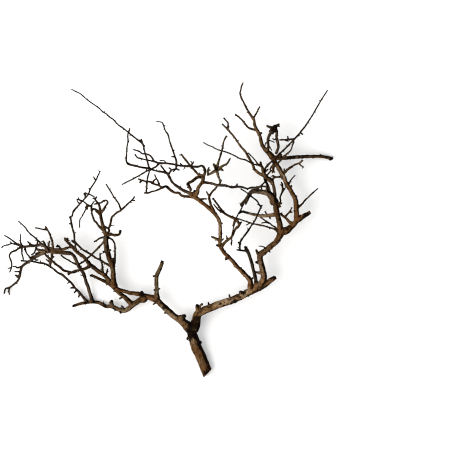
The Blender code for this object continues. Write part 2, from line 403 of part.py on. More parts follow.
        ("light thorn 2", "light branch", (2, 1.2), (72,), [(248, 34), (243, 45)]),
    ],
    "upper_left_twig": [
        ("upper left twig", "crown left limb",
         (3.6, 3, 2.9, 2.9, 2.6, 2.4, 2.2, 2.1, 2, 1.7, 1.3), (91, 92, 93, 95, 98, 101, 103),
         [(244, 131), (229, 138), (220, 144.7), (215, 150), (212, 161), (207, 170), (200.7, 180),
          (196, 189), (191, 196), (183, 204), (177, 212), (168, 226), (157, 239), (149, 248), (142.6, 255),
          (135, 262)]),
        ("upper left fork", "upper left twig", (2, 1.6), (106,),
         [(149, 248), (150.6, 263), (147.4, 268), (139, 277)]),
    ],
    "crown_right_limb": [
        ("crown right limb", "outer limb",
         (7.6, 6.8, 6.3, 6, 5.8, 5.7, 5.5, 5.1, 5, 5, 5.1, 5.3, 5.2, 5.4, 6.4),
         (57, 54, 51, 49, 47, 45, 44, 42),
         [(286, -7), (298.5, -2.5), (308, 5.4), (316, 13.3), (320.8, 21.3), (321.5, 33), (321, 44),
          (320.5, 55), (320, 68), (316, 80), (309, 92), (303, 103), (296.3, 113), (291.5, 125.6),
          (285, 138), (279, 149.5), (272.4, 159), (266, 168.6), (262, 177.5)]),
        ("crotch stub", "crown right limb", (5.4, 5.2, 4.8, 4), (54, 56),
         [(321, 22), (331, 26), (346, 36), (357, 41)]),
        ("crown right twig 1", "crown right limb", (2.1, 1.7, 1.3, 1), (50, 53),
         [(320.7, 50), (335, 62), (344, 73), (351, 79), (362, 90), (376, 102)]),
        ("crown right twig 2", "crown right limb", (2.6, 2.2, 1.7), (44, 43),
         [(287, 137), (299, 148), (309, 155), (318, 161), (329, 165), (338, 172)]),
        ("crown right tip", "crown right twig 2", (1.5, 1.1), (44,), [(328, 164), (333, 158), (340, 154)]),
        ("crown right thin", "crown right limb", (1.5, 0.9), (46,), [(300, 109), (309, 124), (319, 135)]),
        ("crown between", "crown right limb", (3.4, 3, 2.8, 2.4), (59, 61, 62),
         [(313, 11), (304, 17), (295, 27), (287, 33), (280, 39)]),
        ("between fork", "crown between", (1.9, 1.3), (62, 62),
         [(292, 29), (298, 36), (304, 41), (312, 42)]),
        ("between tip", "between fork", (1.4, 1), (64,), [(303, 41), (311, 54)]),
        ("crook", "crown right limb", (2.8, 2.3, 2), (50, 54),
         [(288, 132), (276, 130), (267.6, 130), (261, 134)]),
        ("crook tip", "crook", (1.9, 1.4), (56,), [(268, 130), (258, 122.5), (251, 124)]),
        ("down spur", "crown right limb", (3.4, 2.8, 1.6), (52,), [(267, 167), (263, 150), (261, 139)]),
        ("second strand", "crown right limb", (2.2, 1.8, 1.6, 1.4), (54, 60, 64, 66),
         [(271, 161), (276, 166), (285, 174.6), (295, 185), (306, 195.6), (311, 208), (315, 220)]),
    ],
    "crown_tip_limb": [
        ("crown tip limb", "crown right limb",
         (6, 5, 4.5, 4.1, 3.9, 3.8, 3.5, 3.1, 2.8, 2.3, 2, 1.9, 1.7, 1.4, 1.1),
         (44, 47, 51, 55, 58, 61, 63, 65),
         [(262, 177.5), (255, 187.5), (243, 199), (235.7, 209.6), (232, 222), (230, 232), (225, 243),
          (220, 252), (216.4, 262), (215.5, 271), (211, 278), (204, 288.6), (197, 301), (190, 315),
          (183, 329), (180, 339), (182, 346), (184, 357), (188.3, 366.6)]),
        ("tip twig", "crown tip limb", (1.7, 1.1), (62,), [(213, 275), (221.6, 290), (230, 306)]),
        ("tip left twig", "crown tip limb", (2.5, 2, 1.7, 1.4), (58, 60),
         [(222, 248), (211, 249), (200.6, 253.5), (192, 264), (181, 276), (168, 287)]),
        ("tip bump", "crown tip limb", (2.8, 2), (55,), [(228, 237), (235, 240)]),
    ],
    "dead_stub": [
        ("dead stub", "crown right limb", (5, 4.2, 4, 3.8, 3.6, 3.5, 3.6, 3.4), (35, 29, 22, 16, 10, 3.8),
         [(264, 176), (278, 178), (292, 177), (308, 179), (323, 180), (341, 181), (358, 181.6),
          (374, 181.6), (388, 181), (400.5, 179), (411, 176)]),
    ],
    "burl_stems": [
        ("burl left stem", "crown tip limb", (3.4, 3.1, 3, 3.1, 3.4), (54, 58, 60, 62),
         [(248, 195), (251, 204), (250.6, 213), (250.6, 225), (255, 236), (263, 246)]),
        ("burl", "burl left stem", (4.6, 6, 5.4), (63, 63), [(258, 240), (265, 251), (270, 258)]),
        ("burl prong 1", "burl", (3, 2), (64,), [(263, 252), (254, 254), (246, 258)]),
        ("burl prong 2", "burl", (3, 2), (64,), [(267, 254), (279, 262)]),
        ("burl right stem", "burl", (3.3, 3, 2.9, 3, 3.3), (60, 57, 55),
         [(267, 254), (272, 241), (271.6, 231), (274.3, 217), (276, 206), (273.4, 196), (269, 187)]),
    ],
    "right_wand": [
        ("right wand", "crown left limb",
         (2.8, 2.2, 2, 2, 1.9, 1.9, 1.9, 1.8, 1.8, 1.7, 1.5, 1.3, 1.2, 1.1, 1, 0.8),
         (86, 81, 78, 77, 77, 78, 80, 83),
         [(240, 139), (244, 152), (253, 163), (263.7, 173), (276, 185), (288, 195.6), (300.6, 208),
          (313, 221), (327, 236), (332, 243), (341, 253.5), (348, 264), (357, 278), (364, 288.6),
          (372.5, 304), (383, 322), (392, 336), (398.8, 346.4)]),
        ("wand side twig", "right wand", (1.9, 1.7, 1.5), (80, 80),
         [(315, 223), (306, 223.7), (293.6, 222.8), (278, 222)]),
        ("wand thorn 1", "wand side twig", (1.3, 0.9), (82,), [(300, 223), (299, 232)]),
        ("wand thorn 2", "right wand", (1.4, 1), (76,), [(331, 241), (337, 236), (329, 227)]),
    ],
}


def plan_lengths(points):
    """Distances along a line, in plan, from its first point to each of its points."""
    total = [0.0]
    for a, b in zip(points, points[1:]):
        total.append(total[-1] + math.hypot(b[0] - a[0], b[1] - a[1]))
    return total


def spread(values, share):
    """The value at a share (0 to 1) of the way through evenly spread values, with straight steps between."""
    place = min(max(share, 0.0), 1.0) * (len(values) - 1)
    k = min(int(place), len(values) - 2) if len(values) > 1 else 0
    if len(values) == 1:
        return values[0]
    return values[k] + (values[k + 1] - values[k]) * (place - k)


def smooth_points(points):
    """Points of a Catmull-Rom curve through the given points, SPAN_STEPS to each span."""
    ends = [points[0] * 2 - points[1]] + points + [points[-1] * 2 - points[-2]]
    out = []
    for p0, p1, p2, p3 in zip(ends, ends[1:], ends[2:], ends[3:]):
        for k in range(SPAN_STEPS):
            t = k / SPAN_STEPS
            out.append(0.5 * ((2 * p1) + (p2 - p0) * t + (2 * p0 - 5 * p1 + 4 * p2 - p3) * t * t
                              + (3 * p1 - p0 - 3 * p2 + p3) * t * t * t))
    out.append(points[-1].copy())
    return out


class Stretch:
    """One stretch of wood: a smooth centre line in metres and a radius along it."""

    def __init__(self, name, node, parent, radii, heights, plan):
        self.name = name
        self.node = node
        self.parent = parent
        self.radii = [r * MM + BARK_DEPTH for r in radii]
        self.forks = []
        lengths = plan_lengths(plan)
        if parent:
            root = parent.nearest(Vector((plan[0][0] * MM, plan[0][1] * MM, 0.0)))
            self.root = root
            parent.forks.append(root)
            start = parent.at(root)
            levels = [start.z] + [h * MM for h in heights]
        else:
            self.root = 0.0
            start = None
            levels = [h * MM for h in heights]
        knots = [Vector((x * MM, y * MM, spread(levels, s / lengths[-1])))
                 for (x, y), s in zip(plan, lengths)]
        if start:
            knots[0] = start
        self.line = smooth_points(knots)
        self.marks = [0.0]
        for a, b in zip(self.line, self.line[1:]):
            self.marks.append(self.marks[-1] + (b - a).length)
        self.length = self.marks[-1]

    def at(self, s):
        """The point of the centre line at the distance s from its root."""
        s = min(max(s, 0.0), self.length)
        k = min(bisect.bisect_right(self.marks, s), len(self.marks) - 1)
        a, b = self.marks[k - 1], self.marks[k]
        return self.line[k - 1].lerp(self.line[k], (s - a) / (b - a) if b > a else 0.0)

    def heading(self, s):
        """The direction of growth at the distance s."""
        return (self.at(s + HEADING_REACH) - self.at(s - HEADING_REACH)).normalized()

    def radius(self, s):
        return spread(self.radii, s / self.length)

    def nearest(self, point):
        """The distance along the line of its nearest point, in plan."""
        away = [math.hypot(place.x - point.x, place.y - point.y) for place in self.line]
        return self.marks[away.index(min(away))]


# The colour of each piece's bark
TAN = (0.25, 0.16, 0.09)
BROWN = (0.15, 0.09, 0.05)
DARK = (0.07, 0.045, 0.03)
RED = (0.17, 0.08, 0.045)
OLIVE = (0.17, 0.13, 0.07)
BARK_TONES = {
    "trunk": BROWN, "right_limb": BROWN, "left_limb": TAN, "snag": OLIVE, "left_upper_limb": RED,
    "left_lower_limb": BROWN, "side_branch": BROWN, "tall_limb": BROWN, "curved_twig": DARK,
    "left_middle_limb": BROWN, "cross_limb": DARK, "far_left_limb": BROWN, "far_left_spray": DARK,
    "foot_branch": DARK, "sweep_limb": DARK, "inner_limb": RED, "elbow_branch": BROWN, "riser": OLIVE,
    "top_left_branch": DARK, "middle_left_branch": BROWN, "long_wand": DARK, "top_hub": BROWN,
    "shelf_twig": DARK, "long_right_twig": DARK, "dead_rod": DARK, "outer_limb": BROWN,
    "crown_left_limb": BROWN, "arc_branch": DARK, "light_branch": OLIVE, "upper_left_twig": BROWN,
    "crown_right_limb": RED, "crown_tip_limb": BROWN, "dead_stub": BROWN, "burl_stems": DARK,
    "right_wand": DARK,
}
BARK_ROUGHNESS = 0.85


def clear_scene():
    for thing in list(bpy.data.objects):
        bpy.data.objects.remove(thing, do_unlink=True)


def new_collection(name):
    collection = bpy.data.collections.new(name)
    bpy.context.scene.collection.children.link(collection)
    return collection


def bark_material(node):
    material = bpy.data.materials.new(node + "_bark")
    material.use_nodes = True
    shader = material.node_tree.nodes["Principled BSDF"]
    shader.inputs["Base Color"].default_value = (*BARK_TONES[node], 1.0)
    shader.inputs["Roughness"].default_value = BARK_ROUGHNESS
    shader.inputs["Metallic"].default_value = 0.0
    return material


def grow_stretches():
    """Every stretch of the table, by name, parents before what grows from them."""
    grown = {}
    for node, rows in TREE.items():
        for name, parent, radii, heights, plan in rows:
            grown[name] = Stretch(name, node, grown.get(parent), radii, heights, plan)
    return grown


def fork_arm(child, grown):
    """How far a fork's arm runs before it is clear of all that leaves the same piece."""
    piece = child.parent.node
    beside = [s for s in grown.values() if s is not child and piece in (s.node, s.parent and s.parent.node)]
    s = child.radius(0.0)
    while s < child.length / 2:
        place, radius = child.at(s), child.radius(s)
        if all((other.line[k] - place).length > radius + other.radius(other.marks[k]) + CLEAR
               for other in beside for k in range(len(other.line))):
            return s
        s += MM
    raise ValueError(child.name + " never gets clear of its fork")


def rings(stretch, start, end, cut_start, cut_end):
    """Points and radii along a stretch between two distances, straight beside each parting."""
    step = LIMB_STEP if max(stretch.radii) >= LIMB_RADIUS else TWIG_STEP
    first = start + CUT_RUN if cut_start else start
    last = end - CUT_RUN if cut_end else end
    count = max(1, round((last - first) / step))
    even = [first + (last - first) * k / count for k in range(count + 1)]
    roots = []
    for root in sorted(stretch.forks):
        if first + ROOT_ROOM < root < last - ROOT_ROOM and (not roots or root - roots[-1] > ROOT_ROOM):
            roots.append(root)
    inner = [s for s in even[1:-1] if all(abs(s - root) > step / 2 for root in roots)]
    stations = [first] + sorted(inner + roots) + [last]
    out = [(stretch.at(s), stretch.radius(s)) for s in stations]
    if cut_start:
        place, way = stretch.at(start), stretch.heading(start)
        out[0] = (place + way * CUT_RUN, out[0][1])
        out.insert(0, (place + way * GAP, stretch.radius(start)))
    if cut_end:
        place, way = stretch.at(end), stretch.heading(end)
        out[-1] = (place - way * CUT_RUN, out[-1][1])
        out.append((place, stretch.radius(end)))
    return out


def bevel_steps(stretch):
    """Extra sides of a tube over four, in pairs: thick limbs are rounder than twigs."""
    widest = max(stretch.radii)
    if widest >= TRUNK_RADIUS:
        return 3
    if widest >= STOUT_RADIUS:
        return 2
    return 1 if widest >= LIMB_RADIUS else 0


def tube(name, path, steps, collection):
    """A closed tube through points with radii, as a mesh object."""
    curve = bpy.data.curves.new("route", "CURVE")
    curve.dimensions = "3D"
    curve.bevel_depth = 1.0
    curve.bevel_resolution = steps
    curve.use_fill_caps = True
    spline = curve.splines.new("POLY")
    spline.points.add(len(path) - 1)
    for point, (place, radius) in zip(spline.points, path):
        point.co = (*place, 1.0)
        point.radius = radius
    drawn = bpy.data.objects.new("route", curve)
    collection.objects.link(drawn)
    bpy.context.view_layer.update()
    mesh = bpy.data.meshes.new_from_object(drawn.evaluated_get(bpy.context.evaluated_depsgraph_get()))
    cage = bmesh.new()
    cage.from_mesh(mesh)
    bmesh.ops.remove_doubles(cage, verts=cage.verts, dist=WELD)
    bmesh.ops.recalc_face_normals(cage, faces=cage.faces)
    cage.to_mesh(mesh)
    cage.free()
    solid = bpy.data.objects.new(name, mesh)
    solid.matrix_world = drawn.matrix_world
    collection.objects.link(solid)
    bpy.data.objects.remove(drawn, do_unlink=True)
    bpy.data.curves.remove(curve)
    return solid


def set_aside(thing):
    thing.hide_render = True
    thing.display_type = "WIRE"


def combine(base, other, operation):
    step = base.modifiers.new(operation.lower() + " " + other.name, "BOOLEAN")
    step.operation = operation
    step.solver = "EXACT"
    step.object = other


def butt_saw(collection):
    """The box that takes the butt's end off along its slanted face."""
    mesh = bpy.data.meshes.new("butt saw")
    box = bmesh.new()
    bmesh.ops.create_cube(box, size=SAW_SIZE)
    box.to_mesh(mesh)
    box.free()
    saw = bpy.data.objects.new("butt saw", mesh)
    facing = Vector(BUTT_FACING).normalized()
    saw.location = Vector(BUTT_PLACE) + facing * SAW_SIZE / 2
    saw.rotation_euler = (0.0, 0.0, math.atan2(facing.y, facing.x))
    collection.objects.link(saw)
    set_aside(saw)
    return saw


def build_branch():
    clear_scene()
    branch = new_collection("Fallen tree branch")
    operands = new_collection("Joined and cut shapes")
    grown = grow_stretches()
    arms = {s.name: fork_arm(s, grown) for s in grown.values() if s.parent and s.parent.node != s.node}
    for node, rows in TREE.items():
        main = grown[rows[0][0]]
        start = arms.get(main.name, 0.0)
        body = tube(node, rings(main, start, main.length, start > 0, False), bevel_steps(main), branch)
        body.data.materials.append(bark_material(node))
        joined = [(s.name, rings(s, 0.0, s.length, False, False), s) for s in grown.values()
                  if s.node == node and s is not main]
        joined += [(s.name + " arm", rings(s, 0.0, arms[s.name], False, True), s) for s in grown.values()
                   if s.name in arms and s.parent.node == node]
        for name, path, stretch in joined:
            part = tube(name, path, bevel_steps(stretch), operands)
            set_aside(part)
            combine(body, part, "UNION")
        if node == "trunk":
            combine(body, butt_saw(operands), "DIFFERENCE")
        body.data.shade_smooth()


build_branch()
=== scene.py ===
"""The look of the fallen tree branch: bark, spurs, broken ends and the cut butt, lying on a pale floor."""
import bisect
import json
import math
import random

import bpy
import bmesh
import numpy as np
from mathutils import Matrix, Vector, kdtree, noise

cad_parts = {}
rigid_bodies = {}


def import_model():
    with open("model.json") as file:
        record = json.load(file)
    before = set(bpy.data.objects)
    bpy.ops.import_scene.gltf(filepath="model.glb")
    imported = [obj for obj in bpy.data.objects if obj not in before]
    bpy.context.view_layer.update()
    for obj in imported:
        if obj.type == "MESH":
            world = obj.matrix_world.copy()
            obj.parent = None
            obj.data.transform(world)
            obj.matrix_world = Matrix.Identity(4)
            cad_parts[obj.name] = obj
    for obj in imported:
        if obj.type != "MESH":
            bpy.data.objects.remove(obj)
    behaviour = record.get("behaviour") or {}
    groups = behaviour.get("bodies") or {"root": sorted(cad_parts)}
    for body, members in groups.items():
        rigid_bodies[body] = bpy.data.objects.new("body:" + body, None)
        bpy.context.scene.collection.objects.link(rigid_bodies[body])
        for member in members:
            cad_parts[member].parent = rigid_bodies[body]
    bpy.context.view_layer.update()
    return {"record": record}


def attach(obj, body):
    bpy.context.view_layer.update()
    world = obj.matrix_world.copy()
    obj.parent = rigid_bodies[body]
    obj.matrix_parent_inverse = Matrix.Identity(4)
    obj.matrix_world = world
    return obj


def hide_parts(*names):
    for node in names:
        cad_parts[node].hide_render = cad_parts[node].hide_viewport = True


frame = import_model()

# Shape, in metres unless the name says otherwise
MM = 0.001
BARK_DEPTH = 0.0004
CLEAR = 0.0012                  # as in the solids: room that a fork's arms need beside each other
SPAN_STEPS = 6                  # points of the smooth curve to each span of a plan
OVERLAP = 0.003                 # each piece starts this far inside the arm that it grows from
TUBE_SIDES = 14
SHORTEST_STEP = 0.0009          # from ring to ring of a tube
LONGEST_STEP = 0.0016
VOXEL_TWIG = 0.00060
VOXEL_LIMB = 0.00080
LIMB_GIRTH = 0.0065             # pieces whose main stretch is thicker than this count as limbs
SMOOTH_TURNS = 5
KEPT_SHARE = 0.58               # of the faces, which keeps the whole branch under a million triangles
SPECK_VERTS = 100               # a loose shell with fewer corners than this is no part of the wood
GROUND = 0.0002                 # nothing of the branch is lower than this
PAINTED_LIGHT_SIDE = (-0.72, -0.33, 0.61)     # the key lamp's side, toward which the bark is painted lighter (painted light), as a unit vector

# The sawn face of the butt
BUTT_PLACE = (0.1009, -0.3603, 0.0129)
BUTT_FACING = (0.728, -0.685, 0.0)
BUTT_SLACK = 0.0012             # what is this close to the face is pressed flat onto it
SAW_MARKS = 0.12 * MM
SAW_FINENESS = 900.0

# Swellings and bends that the plain stretches lack
THIN_EXTRA = 0.3 * MM           # added to the radius of the thinnest twigs
THIN_FROM, THIN_TO = 0.0012, 0.0026     # the radii between which that fades out
SWELL_MOST = 0.22               # share of the radius
SWELL_HEIGHT = 0.6 * MM
SWELL_LONG, SWELL_SHORT = 0.010, 0.0045
COLLAR = 0.30                   # extra share of the radius where a stretch leaves its parent
COLLAR_REACH = 1.6              # radii over which the collar fades
TIP_TAPER = 0.28
BEND_SPAN = 0.022
BEND_MOST = 0.0006
BEND_SHARE, BEND_LEAST = 0.12, 0.0002   # a bend is this share of the radius, and a little more
BEND_FADE = 0.01                # bends are full from this far above the root

# Knobs. A kind is its length from and to, its foot's radius from and to, and its end's radius, in millimetres
KNOB_SPACING = 0.010
KNOB_SIDES = 8
KNOB_LOW = 0.001                # no knob's tip is lower than this
LUMP = (1.3, 4.0, 1.8, 2.9, 1.1)
BUD = (1.6, 3.2, 1.2, 1.8, 0.7)
THORN = (2.8, 5.0, 1.2, 1.7, 0.7)
SPIKE = (6.0, 9.0, 1.4, 1.9, 0.8)
LUMPY_GIRTH = 0.0045            # thicker wood than this carries lumps
SLIM_GIRTH = 0.0022             # thinner wood than this carries smaller knobs

# Relief of the bark: width and length of each kind of bump, then its height in millimetres
RIDGES = (0.0030, 0.016)
LUMPS = (0.007, 0.011)
WRINKLES = (0.0022, 0.0019)
RIDGE_HEIGHT, LUMP_HEIGHT, WRINKLE_HEIGHT = 0.45, 0.65, 0.18
FULL_GIRTH = 0.007              # wood at least this thick has the full relief
DARK_TIP = 0.006                # the last length of each twig, which weathers dark

# Seeds
BEND_SEED = 7
STRETCH_SEED = 11.3
SPUR_SEED = 7.7
KNOB_SEED = 100

# Camera: it looks straight down, and the photograph's frame is 1.145 m wide
FRAME_SIDE = 1.145
FRAME_CENTRE = (0.1527, -0.00025)
CAMERA_LENS = 500.0             # millimetres, as the sensor
CAMERA_SENSOR = 36.0
MEAN_HEIGHT = 0.05
PIXEL_FILTER = 1.15             # pixels, for edges as crisp as in the photograph

# Lights: name, place, side, power in watts and colour. Each aims at the middle of the branch
LIGHTS = [
    ("key", (-2.0, -0.9, 2.0), 3.0, 112.0, (1.0, 0.97, 0.93)),
    ("fill", (1.4, 1.2, 2.6), 2.4, 14.0, (0.95, 0.98, 1.0)),
]
SKY_STRENGTH = 0.80
WHITE = (1.0, 1.0, 1.0, 1.0)
FLOOR_SIDE = 8.0
FLOOR_WHITE = (0.92, 0.92, 0.92, 1.0)

